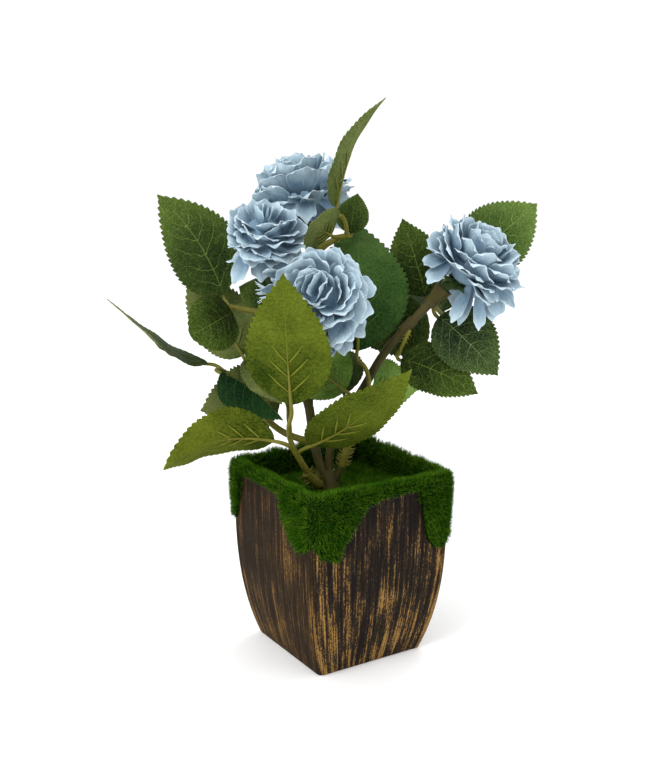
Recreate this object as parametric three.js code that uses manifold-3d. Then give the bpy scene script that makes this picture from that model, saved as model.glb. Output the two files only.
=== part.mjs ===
// An artificial hydrangea: four pale blue fabric blooms and serrated fabric leaves on moulded
// stems, set in a filler under a moss mat, in a square wood-look pot with bulging sides.
// Millimetres, +Z up. The origin is the middle of the pot's underside, and the pot's sides face
// along X and Y. The plant has its own axes, turned about Z: right, back and up, as it is seen
// with the pot's corner in front, and its points are written in them.
import * as THREE from "three";
import Module from "manifold-3d";

const wasm = await Module();
wasm.setup();

// Driving dimensions

const GAP = 0.3; // the room between two pieces that touch
const PLANT_TURN = THREE.MathUtils.degToRad(-32);

const POT_HEIGHT = 90;
const POT_RIM = 39.5; // half the width at the rim
const POT_FOOT = 30; // half the width at the foot
const POT_UPRIGHT = 80; // the sides stand upright above this height
const POT_BULGE = 3; // the higher, the rounder the sides: the power of the curve to the foot
const POT_WALL = 2.5;
const POT_FLOOR = 4;
const POT_CORNER = 3.5; // radius of the upright edges
const POT_EDGE = 0.7; // rounding of the rim
const POT_RINGS = [1.2, 8, 16, 25, 36, 50, 65, 80]; // heights at which the sides are drawn

const FILLER_TOP = 74;
const MOSS_LEVEL = 80;
const MOSS_THICK = 1.4; // the mat that wraps the rim
const MOSS_OVER_RIM = 2.8;
const MOSS_WAVE = 0.5; // height of the bed's tufts
const MOSS_SWELL = 0.006; // how far the collar's tufts stand out, as a share of the half width
const BED_RINGS = [0.85, 0.6, 0.35]; // shares of the bed's half width, where its tufts are drawn
const BED_CROWN = 1; // how far its middle rises

// The collar's section beside the pot's outer face: [share of its thickness, how far down to its
// lower edge].
const COLLAR_SIDE = [
  [0, 0],
  [0, 0.5],
  [0, 1],
  [0.6, 0.98],
  [1, 0.5],
  [1, 0.06],
];

// The knot where the stems meet stands on a peg inside the filler: the heights along it and the
// radius at each.
const KNOT_PLACE = [-5, 0];
const KNOT_HEIGHTS = [40, 76, 80, 84, 89];
const KNOT_RADII = [3.2, 3.4, 4.6, 4.9, 3.4];
const STEM = 2.1; // radius of a stem
const CUP_MOUTH = 4.6;
const CUP_BORE = 3.2;
const CUP_DEPTH = 7;
const STALK = 2.6; // radius of a bloom's green stalk
const CALYX_ARMS = 3;
const CALYX_REACH = 10;
const CALYX_RADII = [1.3, 0.9]; // of an arm, at its root and its end
const CALYX_FOOT = -10; // heights from the bloom's centre, along its axis
const CALYX_DROP = 2.5; // an arm's root lies this far below the foot
const STALK_END = -4;

const LEAF_THICK = 0.7;
const LEAF_TEETH = 7; // on each side
const TOOTH_DEPTH = 0.0375; // as a share of the leaf's width
const TOOTH_PEAK = 0.6; // where along a tooth it stands out most
const TOOTH_LEAN = 0.25; // how far it points to the tip, as a share of its length
const LEAF_RISE = 0.6; // how fast the outline widens from the base
const LEAF_FALL = 1; // how fast it narrows to the tip
const RIB_END = 0.62; // the moulded rib stops here, as a share of the leaf
const SIDE_RIB = 0.2; // where the side ribs branch off, and how far up the leaf each one runs
const SIDE_RIB_RUN = 0.15;
const SIDE_RIB_REACH = 0.5; // of the way to the leaf's edge
const SIDE_RIB_RADII = [0.55, 0.4];
const SIDE_RIB_DEEP = 0.8; // its root lies this far below the leaf's underside
const PETIOLE = 1.15; // radius
const SPRAY_STALK = [1.7, 1.3]; // radius at the sleeve and at the last leaf

// The radius of the rib under a leaf, at shares of the leaf's length.
const RIBS = [
  { share: -0.06, radius: 1 },
  { share: 0.06, radius: 0.95 },
  { share: 0.25, radius: 0.85 },
  { share: 0.45, radius: 0.75 },
  { share: RIB_END, radius: 0.5 },
];

const HOOK_TURN = 2.4; // radians from one hook on a sleeve to the next
const HOOK_OUT = 2.2; // how far a hook stands out, and how far it leans along the sleeve
const HOOK_ALONG = 1.4;
const HOOK_RADII = [0.9, 0.2];
const HOOK_SUNK = 0.8; // its root lies this far inside the sleeve

const BLOOM_RADIUS = 25;
const CORE_RADIUS = 13;
const CORE_HIGH = 13;
const CORE_DEEP = 9;
const PETAL_THICK = 0.7;

// Layers of petals from the crown down to the hanging skirt. Polar is the tips' angle from the
// bloom's axis and lean the angle of the petals, in degrees. Root is the angle at which the layer
// meets the next one on the core.
const PETALS = 7; // in each layer
const PETAL_LAYERS = [
  { polar: 16, lean: -8, reach: 0.76, length: 9, root: 24 },
  { polar: 34, lean: 26, reach: 0.88, length: 12, root: 46 },
  { polar: 57, lean: 52, reach: 0.97, length: 13, root: 68 },
  { polar: 81, lean: 82, reach: 1, length: 14, root: 92 },
  { polar: 105, lean: 116, reach: 1, length: 15, root: 118 },
  { polar: 130, lean: 152, reach: 0.98, length: 16, root: 150 },
];

// A petal's outline: [share of the way across it, share of its length, share of its cupping].
const NOTCH = [0, 0.45, 0.3];
const SHOULDER = [0.2, 0.93, 1];
const TIP = [0.5, 1, 0];
const PETAL_CUP = 2.2; // how far a petal's edges rise above its middle
const PETAL_STAGGER = 0.9; // neighbours stand this far above and below their layer
const POLAR_SPREAD = 3; // how far a petal strays from its layer, in degrees and millimetres
const LEAN_SPREAD = 4;
const REACH_SPREAD = 0.8;

// The lower edge of the moss round the pot: [place, height]. A place of 0 is the front corner,
// 1 the right, 2 the back and 3 the left one, and 0.5 the middle of the right front side.
const MOSS_EDGE = [
  [0, 67],
  [0.05, 61],
  [0.17, 59],
  [0.2, 66],
  [0.27, 72],
  [0.36, 82],
  [0.47, 85.5],
  [0.74, 87],
  [0.77, 79],
  [0.82, 60],
  [0.88, 54.5],
  [0.95, 53.5],
  [1, 58],
  [1.15, 76],
  [1.4, 84],
  [1.7, 82],
  [1.86, 60],
  [1.95, 55],
  [2.12, 66],
  [2.3, 83],
  [2.55, 78],
  [2.7, 84],
  [2.88, 70],
  [3, 61],
  [3.07, 61.5],
  [3.11, 71],
  [3.14, 84],
  [3.17, 87.5],
  [3.6, 88],
  [3.65, 85],
  [3.68, 74],
  [3.77, 66],
  [3.86, 62],
  [3.94, 65],
  [4, 67],
];

// Each spray is one moulding: a sleeve on a stem, a stalk, and a petiole and ribs for each leaf.
// A leaf runs from base to tip, and its upper side faces the way that faces gives. Arch lifts its
// middle to that side, fold lifts its edges, in degrees, curl bends its tip, sweep bows it
// sideways and twist turns it along its length, in degrees.
const SPRAYS = [
  {
    name: "front",
    sleeve: [[-10, -5, 85], [-16, -9, 92]],
    sleeveRadii: [3, 2.5],
    hooks: 5,
    stalk: [[-15, -8, 91], [-19, -12, 99], [-22, -16, 106], [-24, -18, 112]],
    leaves: [
      { name: "up", base: [-22.5, -35, 132], tip: [-25, -60, 195], faces: [0.1, 1, 0.35], width: 40,
        arch: -2, fold: 8, via: [[-24, -26, 120]] },
      { name: "left", base: [-31, -22, 112], tip: [-81, -42, 103], faces: [0, 0.78, 0.62],
        width: 38, arch: 8, fold: 14, from: [-22, -16, 106] },
      { name: "right", base: [-14, -20, 109], tip: [32, -42, 150], faces: [0.05, 0.65, 0.76],
        width: 35, arch: -5, fold: 5, from: [-20.5, -14, 103] },
    ],
  },
  {
    name: "centre",
    sleeve: [[1.5, -2, 93.5], [4.5, -3, 105]],
    sleeveRadii: [2.6, 2.3],
    hooks: 7,
    stalk: [[4, -3, 104], [8, -4, 113], [11.5, -6, 121]],
    leaves: [
      { name: "up", base: [9, -6, 152], tip: [11, 28, 210], faces: [0.1, 1, -0.1], width: 50,
        arch: -13, fold: 8, via: [[13.5, -7, 130], [14, -8, 139], [11, -8, 146]] },
      { name: "left", base: [3, -12, 134], tip: [-24, -13, 151], faces: [0, 0.9, 0.4], width: 34,
        arch: 2, fold: 8, via: [[8, -9, 129]] },
      { name: "right", base: [16, -6, 130], tip: [41, 26, 126], faces: [-0.79, 0.6, 0.1],
        width: 34, arch: 3, fold: 10 },
      { name: "back", base: [3, 12, 127], tip: [-13, 52, 141], faces: [0, -0.3, 1], width: 32,
        arch: 6, fold: 10, via: [[9, 3, 123]] },
    ],
  },
  {
    name: "left_low",
    sleeve: [[-14.5, 0, 105], [-19, -2, 107]],
    sleeveRadii: [2.2, 2],
    stalk: [[-18, -2, 106.7], [-28, -2, 111], [-38, 1, 119], [-48, 5, 131], [-57, 5, 140]],
    leaves: [
      { name: "far", base: [-65, 6, 144], tip: [-111, -5, 177], faces: [0.55, 0, 0.83],
        width: 32, arch: -5, fold: 5, curl: -1.5, twist: 14 },
      { name: "dark", base: [-57, -6, 142], tip: [-27, -16, 120], faces: [0.5, -0.3, 0.8],
        width: 31, arch: 2, fold: -30 },
      { name: "back", base: [-30, 14, 124], tip: [-70, 13, 118], faces: [0.1, 0.9, 0.35], width: 42,
        arch: 2, fold: 8, from: [-24, -2, 109], via: [[-25, 6, 114]] },
    ],
  },
  {
    name: "left_high",
    sleeve: [[-30, 1, 168], [-34, 2.5, 168.5]],
    sleeveRadii: [2.2, 2],
    stalk: [[-33, 2, 168.4], [-42, 4, 170], [-54, 5, 172]],
    leaves: [
      { name: "up", base: [-57, 10.5, 177.5], tip: [-89, 17, 225.5], faces: [-0.1, -0.95, 0.2],
        width: 37, arch: 1, fold: -6, sweep: -4 },
      { name: "round", base: [-52, 0, 170], tip: [-71, -20, 159], faces: [0.58, -0.73, 0.34],
        width: 28, arch: 4, fold: 6 },
      { name: "inner", base: [-31, 12, 173], tip: [-50, 19, 180], faces: [0, -0.9, 0.4],
        width: 18, arch: 2, fold: 8, from: [-34, 2.3, 168.6], via: [[-29, 8, 171]] },
    ],
  },
  {
    name: "left_mid",
    sleeve: [[-23.5, 4, 146], [-28, 3.5, 146]],
    sleeveRadii: [2.2, 2],
    stalk: [[-27, 3.6, 146], [-34, 3, 146], [-41, 2, 147]],
    leaves: [
      { name: "pale", base: [-50.3, 11, 153.3], tip: [-76, 22, 182], faces: [0.1, 0.95, 0.2],
        width: 31, arch: 3, fold: 8 },
      { name: "down", base: [-44, -1, 149], tip: [-28, -8, 126], faces: [0.3, -0.8, 0.5],
        width: 24, arch: 3, fold: 8 },
      { name: "back", base: [-34, 12, 150], tip: [-20, 52, 163], faces: [0, -0.3, 1],
        width: 36, arch: 6, fold: 10, from: [-34, 3, 146] },
    ],
  },
  {
    name: "top",
    sleeve: [[-10, 12, 199], [-6.5, 11.5, 202]],
    sleeveRadii: [2.1, 1.9],
    stalk: [[-7, 11.5, 201.5], [-2, 11, 204], [3, 10.5, 206]],
    leaves: [
      { name: "tall", base: [-2, 4, 220], tip: [21, -4, 270], faces: [-1, 0.1, 0.35],
        width: 25, arch: 4, fold: 29, via: [[3.5, 9, 208.5], [1.5, 7.5, 215]] },
      { name: "bent", base: [-4, 6, 206.5], tip: [-14, -15, 213], faces: [-0.7, 0.49, 0.52],
        width: 25, arch: 0, fold: 6 },
      { name: "behind", base: [5.5, 11.5, 207], tip: [9, 15.5, 226], faces: [-0.2, -0.85, 0.45],
        width: 17, arch: 2, fold: 6 },
    ],
  },
  {
    name: "right_high",
    sleeve: [[42.6, -7, 174.4], [44.6, -7.4, 176.6]],
    sleeveRadii: [3.7, 3.7],
    stalk: [[44, -4.4, 174.6], [45, -2, 174]],
    leaves: [
      { name: "up", base: [43, 14, 176], tip: [31.5, 24, 213.5], faces: [0, -0.95, 0.3], width: 29,
        arch: 2, fold: -6 },
      { name: "far", base: [65, 20, 192], tip: [97.5, 20, 221], faces: [-0.1, -0.9, 0.3],
        width: 36, arch: 3, fold: 8, via: [[51, 13, 178], [58, 19, 185]] },
      { name: "down", base: [48, -1.5, 168], tip: [76, -10, 140.7], faces: [0.1, -0.85, 0.4],
        width: 34, arch: 3, fold: 8 },
      { name: "behind", base: [42, 6, 170.5], tip: [16, 13, 150], faces: [0, -0.9, 0.45],
        width: 34, arch: 2, fold: 8 },
      { name: "back", base: [52, 14, 168.5], tip: [38, 56, 174.5], faces: [0, -0.3, 1], width: 34,
        arch: 6, fold: 10 },
    ],
  },
  {
    name: "right_low",
    sleeve: [[30, -5.3, 161.4], [35.5, -6, 167.2]],
    sleeveRadii: [3.5, 3.5],
    stalk: [[33.5, -7, 162.5], [31, -7.5, 157], [29, -7, 152.5]],
    leaves: [
      { name: "side", base: [30, -7, 148.4], tip: [66, -15, 132.7], faces: [-0.2, -0.75, 0.6],
        width: 28, arch: 4, fold: 10 },
    ],
  },
];

// Each bloom stands on a green stalk in a cup, from the cup's foot to its mouth.
const BLOOMS = [
  {
    name: "top",
    size: 1.09,
    centre: [-18.4, 36, 221.4],
    axis: [-0.25, 0.3, 0.92],
    cup: [[-13, 17, 199], [-14.5, 22.5, 207.5]],
    seed: 11,
  },
  {
    name: "left",
    size: 0.86,
    centre: [-36.5, -3.6, 204.3],
    axis: [-0.12, -0.15, 0.98],
    cup: [[-29.5, -0.5, 174], [-31.8, -1, 183]],
    seed: 23,
  },
  {
    name: "front",
    size: 1,
    centre: [-8.5, -29.2, 178.8],
    axis: [-0.2, -0.85, 0.45],
    cup: [[-14.5, -1, 161.5], [-12.5, -10, 167.5]],
    seed: 37,
  },
  {
    name: "right",
    size: 0.98,
    centre: [61, -9, 193],
    axis: [0.5, -0.35, 0.79],
    cup: [[43, -7, 175], [49.3, -8, 182.6]],
    seed: 53,
  },
];

// The stems, from the knot to the cups, and the short stubs that the sprays' sleeves sit on.
const STEMS = [
  { radius: 2.4, points: [[-6, 0, 84], [-10.9, 0, 98.4], [-14.8, 3, 122]] },
  { radius: STEM, points: [[-14.8, 3, 121], [-21.5, 4, 146], [-27, 1, 166], [-30, -0.6, 176]] },
  { radius: STEM, points: [[-14.8, 3, 121], [-15, 8, 150], [-12, 12, 180], [-13.5, 18, 201]] },
  { radius: STEM, points: [[-14.8, 7, 146], [-15.5, 3, 156], [-14, -3, 163]] },
  {
    radius: STEM,
    points: [
      [-4.5, 0, 84],
      [-4.5, 0, 100],
      [1, -1, 116],
      [10.6, -2, 131],
      [22, -4, 151],
      [34, -6, 165.5],
      [44, -7.2, 176.5],
    ],
  },
  { radius: 1.9, points: [[-8, -3, 83], [-13, -6.8, 88.5]] },
  { radius: 1.7, points: [[-3, -0.5, 84], [1, -1.8, 92], [3, -2.5, 99]] },
  { radius: 1.3, points: [[-12, 1, 104], [-17.5, -1.3, 106.3]] },
  { radius: 1.3, points: [[-27.5, 0.7, 168], [-32.5, 1.9, 168.3]] },
  { radius: 1.3, points: [[-21.5, 4, 146], [-26.5, 3.6, 146]] },
  { radius: 1.3, points: [[-13, 16, 195], [-10.5, 13.5, 198], [-8, 11.7, 200.7]] },
];

const COLOURS = {
  pot: 0x33271c,
  filler: 0xd8d2c4,
  moss: 0x3f7a16,
  stem: 0x6b5138,
  spray: 0xa89a3a,
  stalk: 0x2f4a22,
  leaf: 0x3c6b2c,
  petal: 0xa4bcd6,
};

// Solids and meshes

function vector([x, y, z]) {
  return new THREE.Vector3(x, y, z);
}

function solidFrom(points, faces) {
  const solid = new wasm.Manifold(
    new wasm.Mesh({
      numProp: 3,
      vertProperties: new Float32Array(points.flatMap((p) => p.toArray())),
      triVerts: new Uint32Array(faces.flat()),
    }),
  );
  if (solid.volume() >= 0) return solid;
  return solidFrom(points, faces.map(([a, b, c]) => [a, c, b]));
}

function geometryOf(solid) {
  const mesh = solid.getMesh();
  const position = new THREE.BufferAttribute(new Float32Array(mesh.vertProperties), 3);
  const index = new THREE.BufferAttribute(new Uint32Array(mesh.triVerts), 1);
  return new THREE.BufferGeometry().setAttribute("position", position).setIndex(index);
}

function solidOf(geometry) {
  const position = geometry.getAttribute("position");
  const index = geometry.getIndex();
  return new wasm.Manifold(
    new wasm.Mesh({ numProp: 3, vertProperties: position.array, triVerts: index.array }),
  );
}

function joined(solids) {
  return solids.reduce((all, one) => all.add(one));
}

// The largest body of a solid: scraps that a cut leaves loose are dropped.
function largestBody(solid) {
  return solid.decompose().reduce((a, b) => (a.volume() > b.volume() ? a : b));
}

function meshOf(name, solid, colour, roughness) {
  const geometry = geometryOf(largestBody(solid)).toNonIndexed();
  geometry.computeVertexNormals();
  const material = new THREE.MeshStandardMaterial({ color: colour, roughness, metalness: 0 });
  const mesh = new THREE.Mesh(geometry, material);
  mesh.name = name;
  return mesh;
}

// Closes a stack of rings into a solid. A ring is a list of points, or one point as an apex. The
// two ends are capped, or joined to each other in a loop.
function stack(rings, loop = false) {
  const starts = [];
  let count = 0;
  for (const ring of rings) {
    starts.push(count);
    count += ring.length;
  }
  const corner = (k, i) => starts[k] + (i % rings[k].length);
  const faces = [];
  const spans = loop ? rings.length : rings.length - 1;
  for (let k = 0; k < spans; k += 1) {
    const next = (k + 1) % rings.length;
    const sides = Math.max(rings[k].length, rings[next].length);
    for (let i = 0; i < sides; i += 1) {
      if (rings[k].length > 1) faces.push([corner(k, i), corner(k, i + 1), corner(next, i)]);
      if (rings[next].length > 1)
        faces.push([corner(k, i + 1), corner(next, i + 1), corner(next, i)]);
    }
  }
  if (!loop) {
    const last = rings.length - 1;
    for (let i = 1; i < rings[0].length - 1; i += 1)
      faces.push([corner(0, 0), corner(0, i + 1), corner(0, i)]);
    for (let i = 1; i < rings[last].length - 1; i += 1)
      faces.push([corner(last, 0), corner(last, i), corner(last, i + 1)]);
  }
  return solidFrom(rings.flat(), faces);
}

// A closed tube along a smooth curve through the points, with a radius given at each point.
function tube(points, radii, sides = 6, stepsPerSpan = 2) {
  const curve = new THREE.CatmullRomCurve3(points, false, "centripetal");
  const spans = points.length - 1;
  const lengths = curve.getLengths(spans * 20);
  const marks = points.map((_, i) => lengths[i * 20] / lengths[lengths.length - 1]);
  const steps = spans * stepsPerSpan;
  const frames = curve.computeFrenetFrames(steps);
  const rings = [];
  for (let i = 0; i <= steps; i += 1) {
    const share = i / steps;
    const span = Math.min(spans - 1, Math.max(0, marks.findIndex((m) => m >= share) - 1));
    const within = (share - marks[span]) / (marks[span + 1] - marks[span]);
    const radius = THREE.MathUtils.lerp(radii[span], radii[span + 1], within);
    const centre = curve.getPointAt(share);
    const ring = [];
    for (let j = 0; j < sides; j += 1) {
      const angle = (j / sides) * 2 * Math.PI;
      const across = frames.normals[i].clone().multiplyScalar(radius * Math.cos(angle));
      const up = frames.binormals[i].clone().multiplyScalar(radius * Math.sin(angle));
      ring.push(centre.clone().add(across).add(up));
    }
    rings.push(ring);
  }
  return stack(rings);
}

function rod(from, to, radii, sides = 8) {
  return tube([from, to], radii, sides, 1);
}

// A blade from a grid of points on its middle surface. Both faces are split into the same
// triangles. The end rows may be a single point.
function slab(grid, thickness) {
  const columns = Math.max(...grid.map((row) => row.length));
  const middle = Math.floor(columns / 2);
  const end = columns - 1;
  const last = grid.length - 1;
  const full = grid.map((row) => (row.length === 1 ? Array(columns).fill(row[0]) : row));
  const normalAt = (i, j) => {
    const along = full[Math.min(last, i + 1)][j].clone().sub(full[Math.max(0, i - 1)][j]);
    const row = full[Math.min(last - 1, Math.max(1, i))];
    const across = row[Math.min(end, j + 1)].clone().sub(row[Math.max(0, j - 1)]);
    return along.cross(across).normalize();
  };
  const points = [];
  const pairAt = (point, normal) => {
    points.push(point.clone().addScaledVector(normal, thickness / 2));
    points.push(point.clone().addScaledVector(normal, -thickness / 2));
    return points.length - 2;
  };
  const top = full.map((row, i) => {
    if (grid[i].length === 1) return Array(columns).fill(pairAt(row[0], normalAt(i, middle)));
    return row.map((point, j) => pairAt(point, normalAt(i, j)));
  });
  const bottom = top.map((row) => row.map((index) => index + 1));

  const faces = [];
  const face = (a, b, c) => {
    if (a !== b && b !== c && a !== c) faces.push([a, b, c]);
  };
  const quad = (a, b, c, d) => {
    face(a, b, c);
    face(a, c, d);
  };
  for (let i = 0; i < last; i += 1) {
    for (let j = 0; j < end; j += 1) {
      const cell = (side) => {
        const corners = [side[i][j], side[i][j + 1], side[i + 1][j + 1], side[i + 1][j]];
        return j < end / 2 ? corners : [corners[1], corners[2], corners[3], corners[0]];
      };
      const [a, b, c, d] = cell(top);
      quad(a, b, c, d);
      const [e, f, g, h] = cell(bottom);
      face(g, f, e);
      face(h, g, e);
    }
    quad(top[i][0], top[i + 1][0], bottom[i + 1][0], bottom[i][0]);
    quad(top[i + 1][end], top[i][end], bottom[i][end], bottom[i + 1][end]);
  }
  for (let j = 0; j < end; j += 1) {
    quad(top[0][j + 1], top[0][j], bottom[0][j], bottom[0][j + 1]);
    quad(top[last][j], top[last][j + 1], bottom[last][j + 1], bottom[last][j]);
  }
  return solidFrom(points, faces);
}

// Random numbers from 0 to 1 that are the same in every run.
function randomFrom(seed) {
  let state = seed;
  return () => {
    state = (state * 16807) % 2147483647;
    return state / 2147483647;
  };
}

// Pot, filler and moss

function potHalf(height) {
  const short = 1 - Math.min(1, height / POT_UPRIGHT);
  return POT_RIM - (POT_RIM - POT_FOOT) * short ** POT_BULGE;
}

// The places round a square: each corner's arc in four steps, each side in sideSteps.
const CORNER_SHARE = 0.04;

function placesRound(sideSteps) {
  const places = [];
  for (let side = 0; side < 4; side += 1) {
    places.push(side, side + CORNER_SHARE / 2, side + CORNER_SHARE);
    for (let i = 1; i < sideSteps; i += 1) places.push(side + i / sideSteps);
    places.push(side + 1 - CORNER_SHARE, side + 1 - CORNER_SHARE / 2);
  }
  return places;
}

// The point at a place on a square with rounded corners, at a height.
function squarePoint(place, half, corner, height) {
  const side = Math.floor(place);
  const share = place - side;
  const reach = half - corner;
  const arcPoint = (number, degrees) => {
    const middle = THREE.MathUtils.degToRad(90 * number - 135);
    const angle = THREE.MathUtils.degToRad(degrees);
    return new THREE.Vector3(
      reach * Math.SQRT2 * Math.cos(middle) + corner * Math.cos(angle),
      reach * Math.SQRT2 * Math.sin(middle) + corner * Math.sin(angle),
      height,
    );
  };
  if (share < CORNER_SHARE)
    return arcPoint(side, 90 * side - 135 + (45 * share) / CORNER_SHARE);
  if (share > 1 - CORNER_SHARE)
    return arcPoint(side + 1, 90 * side - 45 - (45 * (1 - share)) / CORNER_SHARE);
  const across = (share - CORNER_SHARE) / (1 - 2 * CORNER_SHARE);
  return arcPoint(side, 90 * side - 90).lerp(arcPoint(side + 1, 90 * side - 90), across);
}

function onCorner(place) {
  const share = place - Math.floor(place);
  return share <= CORNER_SHARE || share >= 1 - CORNER_SHARE;
}

function squareRing(places, half, height, corner = POT_CORNER) {
  return places.map((place) => squarePoint(place, half, corner, height));
}

function potSolid() {
  const places = placesRound(1);
  const outside = [...POT_RINGS, POT_HEIGHT - POT_EDGE];
  const inside = [POT_FLOOR, ...POT_RINGS.slice(1), POT_HEIGHT - POT_EDGE].reverse();
  return stack([
    squareRing(places, POT_FOOT - 1, 0),
    ...outside.map((height) => squareRing(places, potHalf(height), height)),
    squareRing(places, POT_RIM - POT_EDGE, POT_HEIGHT),
    squareRing(places, POT_RIM - POT_WALL + POT_EDGE, POT_HEIGHT),
    ...inside.map((height) => squareRing(places, potHalf(height) - POT_WALL, height)),
  ]);
}

function fillerSolid() {
  const places = placesRound(1);
  const between = POT_RINGS.filter((height) => height > POT_FLOOR + GAP && height < FILLER_TOP);
  const heights = [POT_FLOOR + GAP, ...between, FILLER_TOP];
  return stack(
    heights.map((height) => squareRing(places, potHalf(height) - POT_WALL - GAP, height)),
  );
}

// Small waves that stand for the tufts of the moss.
function tuft(point) {
  return Math.sin(0.9 * point.x + 1.3) * Math.cos(0.8 * point.y) + Math.sin(0.5 * point.z);
}

function mossBedSolid() {
  const places = placesRound(3);
  const half = POT_RIM - POT_WALL - GAP;
  const rings = [
    squareRing(places, half, FILLER_TOP + GAP),
    squareRing(places, half, MOSS_LEVEL - MOSS_WAVE),
    ...BED_RINGS.map((share) => squareRing(places, half * share, MOSS_LEVEL)),
    [new THREE.Vector3(0, 0, MOSS_LEVEL + BED_CROWN)],
  ];
  for (const ring of rings.slice(2, -1))
    for (const point of ring) point.z += MOSS_WAVE * tuft(point);
  return stack(rings);
}

function mossEdgeAt(place) {
  const next = MOSS_EDGE.findIndex(([at]) => at > place);
  if (next < 0) return MOSS_EDGE[MOSS_EDGE.length - 1][1];
  const [from, low] = MOSS_EDGE[next - 1];
  const [to, high] = MOSS_EDGE[next];
  return THREE.MathUtils.lerp(low, high, (place - from) / (to - from));
}

// The mat hangs over the rim like a saddle: down the outside to its ragged edge, and down the
// inside to the bed.
function mossCollarSolid() {
  const own = MOSS_EDGE.map(([place]) => place).filter((place) => !onCorner(place));
  const places = [...placesRound(1), ...own].sort((a, b) => a - b);
  const ringAt = (out, heightAt) =>
    places.map((place) => {
      const height = heightAt(place);
      const half = potHalf(Math.min(height, POT_HEIGHT)) + out;
      return squarePoint(place, half, POT_CORNER + Math.max(out, 0), height);
    });
  const down = (share) => (place) =>
    THREE.MathUtils.lerp(POT_HEIGHT + GAP, mossEdgeAt(place), share);
  const level = (height) => () => height;
  const inner = -POT_WALL - GAP;
  const over = (out, rise) => ringAt(out, level(POT_HEIGHT + rise));
  const foot = level(MOSS_LEVEL + GAP);
  const rings = [
    ...COLLAR_SIDE.map(([thick, share]) => ringAt(GAP + thick * MOSS_THICK, down(share))),
    over(0.6, 0.85 * MOSS_OVER_RIM),
    over(-POT_WALL / 2, MOSS_OVER_RIM),
    over(inner - 0.5, 0.8 * MOSS_OVER_RIM),
    over(inner - 1.3 * MOSS_THICK, -1),
    ringAt(inner - 0.8 * MOSS_THICK, foot),
    ringAt(inner, foot),
    over(inner, GAP),
  ];
  for (const ring of rings.slice(4, 10))
    for (const point of ring) {
      const swell = 1 + MOSS_SWELL * tuft(point);
      point.x *= swell;
      point.y *= swell;
    }
  return stack(rings, true);
}

// Stems

// Every stem, stub and cup in one moulding. Swell widens it, to cut the room for it elsewhere.
function trunkSolid(swell = 0) {
  const heights = KNOT_HEIGHTS.map((height, i) => (i === 0 ? height - swell : height));
  const knot = heights.map((height) => vector([...KNOT_PLACE, height]));
  const solids = [tube(knot, KNOT_RADII.map((radius) => radius + swell), 8, 1)];
  for (const stem of STEMS) {
    const points = stem.points.map(vector);
    const radii = points.map(() => stem.radius + swell);
    solids.push(tube(points, radii, 6, points.length > 2 ? 2 : 1));
  }
  for (const bloom of BLOOMS) {
    const [foot, mouth] = bloom.cup.map(vector);
    solids.push(rod(foot, mouth, [STEM + swell, CUP_MOUTH + swell], 8));
  }
  const whole = joined(solids);
  if (swell > 0) return whole;
  return BLOOMS.reduce((left, bloom) => left.subtract(cupBore(bloom)), whole);
}

function cupBore(bloom) {
  const [foot, mouth] = bloom.cup.map(vector);
  const axis = mouth.clone().sub(foot).normalize();
  const bottom = mouth.clone().addScaledVector(axis, -CUP_DEPTH);
  return rod(bottom, mouth.clone().addScaledVector(axis, 2), [CUP_BORE, CUP_BORE], 8);
}

// The green stalk of a bloom: up out of its cup and into the bloom's heart, where the arms of the
// calyx spread under the petals.
function stalkSolid(bloom, swell = 0) {
  const [foot, mouth] = bloom.cup.map(vector);
  const cupAxis = mouth.clone().sub(foot).normalize();
  const points = [
    mouth.clone().addScaledVector(cupAxis, GAP - CUP_DEPTH),
    mouth.clone().addScaledVector(cupAxis, 1),
    bloomPoint(bloom, 0, 0, CALYX_FOOT),
    bloomPoint(bloom, 0, 0, STALK_END + swell),
  ];
  const radii = [STALK, STALK, STALK, 0.8 * STALK].map((radius) => radius + swell);
  const solids = [tube(points, radii, 7)];
  for (let arm = 0; arm < CALYX_ARMS; arm += 1) {
    const angle = (arm / CALYX_ARMS) * 2 * Math.PI;
    const root = bloomPoint(bloom, 1, angle, CALYX_FOOT - CALYX_DROP);
    const end = bloomPoint(bloom, CALYX_REACH, angle, CALYX_FOOT + 1);
    solids.push(rod(root, end, CALYX_RADII.map((radius) => radius + swell), 4));
  }
  return joined(solids);
}

// Leaves and the sprays that carry them

function halfWidth(leaf, share) {
  const peak = LEAF_RISE / (LEAF_RISE + LEAF_FALL);
  const shape = (t) => t ** LEAF_RISE * (1 - t) ** LEAF_FALL;
  return (0.5 * leaf.width * shape(share)) / shape(peak);
}

// The point at a share of a blade's length, at a distance from its midrib and at a depth below
// its surface.
function bladePoint(blade, share, distance, depth = 0) {
  const base = vector(blade.base);
  const along = vector(blade.tip).sub(base);
  const length = along.length();
  along.normalize();
  const up = vector(blade.faces);
  up.addScaledVector(along, -up.dot(along)).normalize();
  up.applyAxisAngle(along, THREE.MathUtils.degToRad((blade.twist ?? 0) * share));
  const side = up.clone().cross(along);
  base.addScaledVector(side, 4 * (blade.sweep ?? 0) * share * (1 - share));
  if (distance < 0) side.negate();
  const curl = blade.curl ?? 0;
  const turn = 2 * Math.PI * share;
  const lift = 4 * blade.arch * share * (1 - share) + curl * Math.sin(turn);
  const climb = 4 * blade.arch * (1 - 2 * share) + curl * 2 * Math.PI * Math.cos(turn);
  const out = up.clone().addScaledVector(along, -climb / length).normalize();
  const fold = distance === 0 ? 0 : THREE.MathUtils.degToRad(blade.fold);
  return base
    .addScaledVector(along, length * share)
    .addScaledVector(up, lift)
    .addScaledVector(side, Math.abs(distance) * Math.cos(fold) + depth * Math.sin(fold))
    .addScaledVector(out, Math.abs(distance) * Math.sin(fold) - depth * Math.cos(fold));
}

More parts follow.
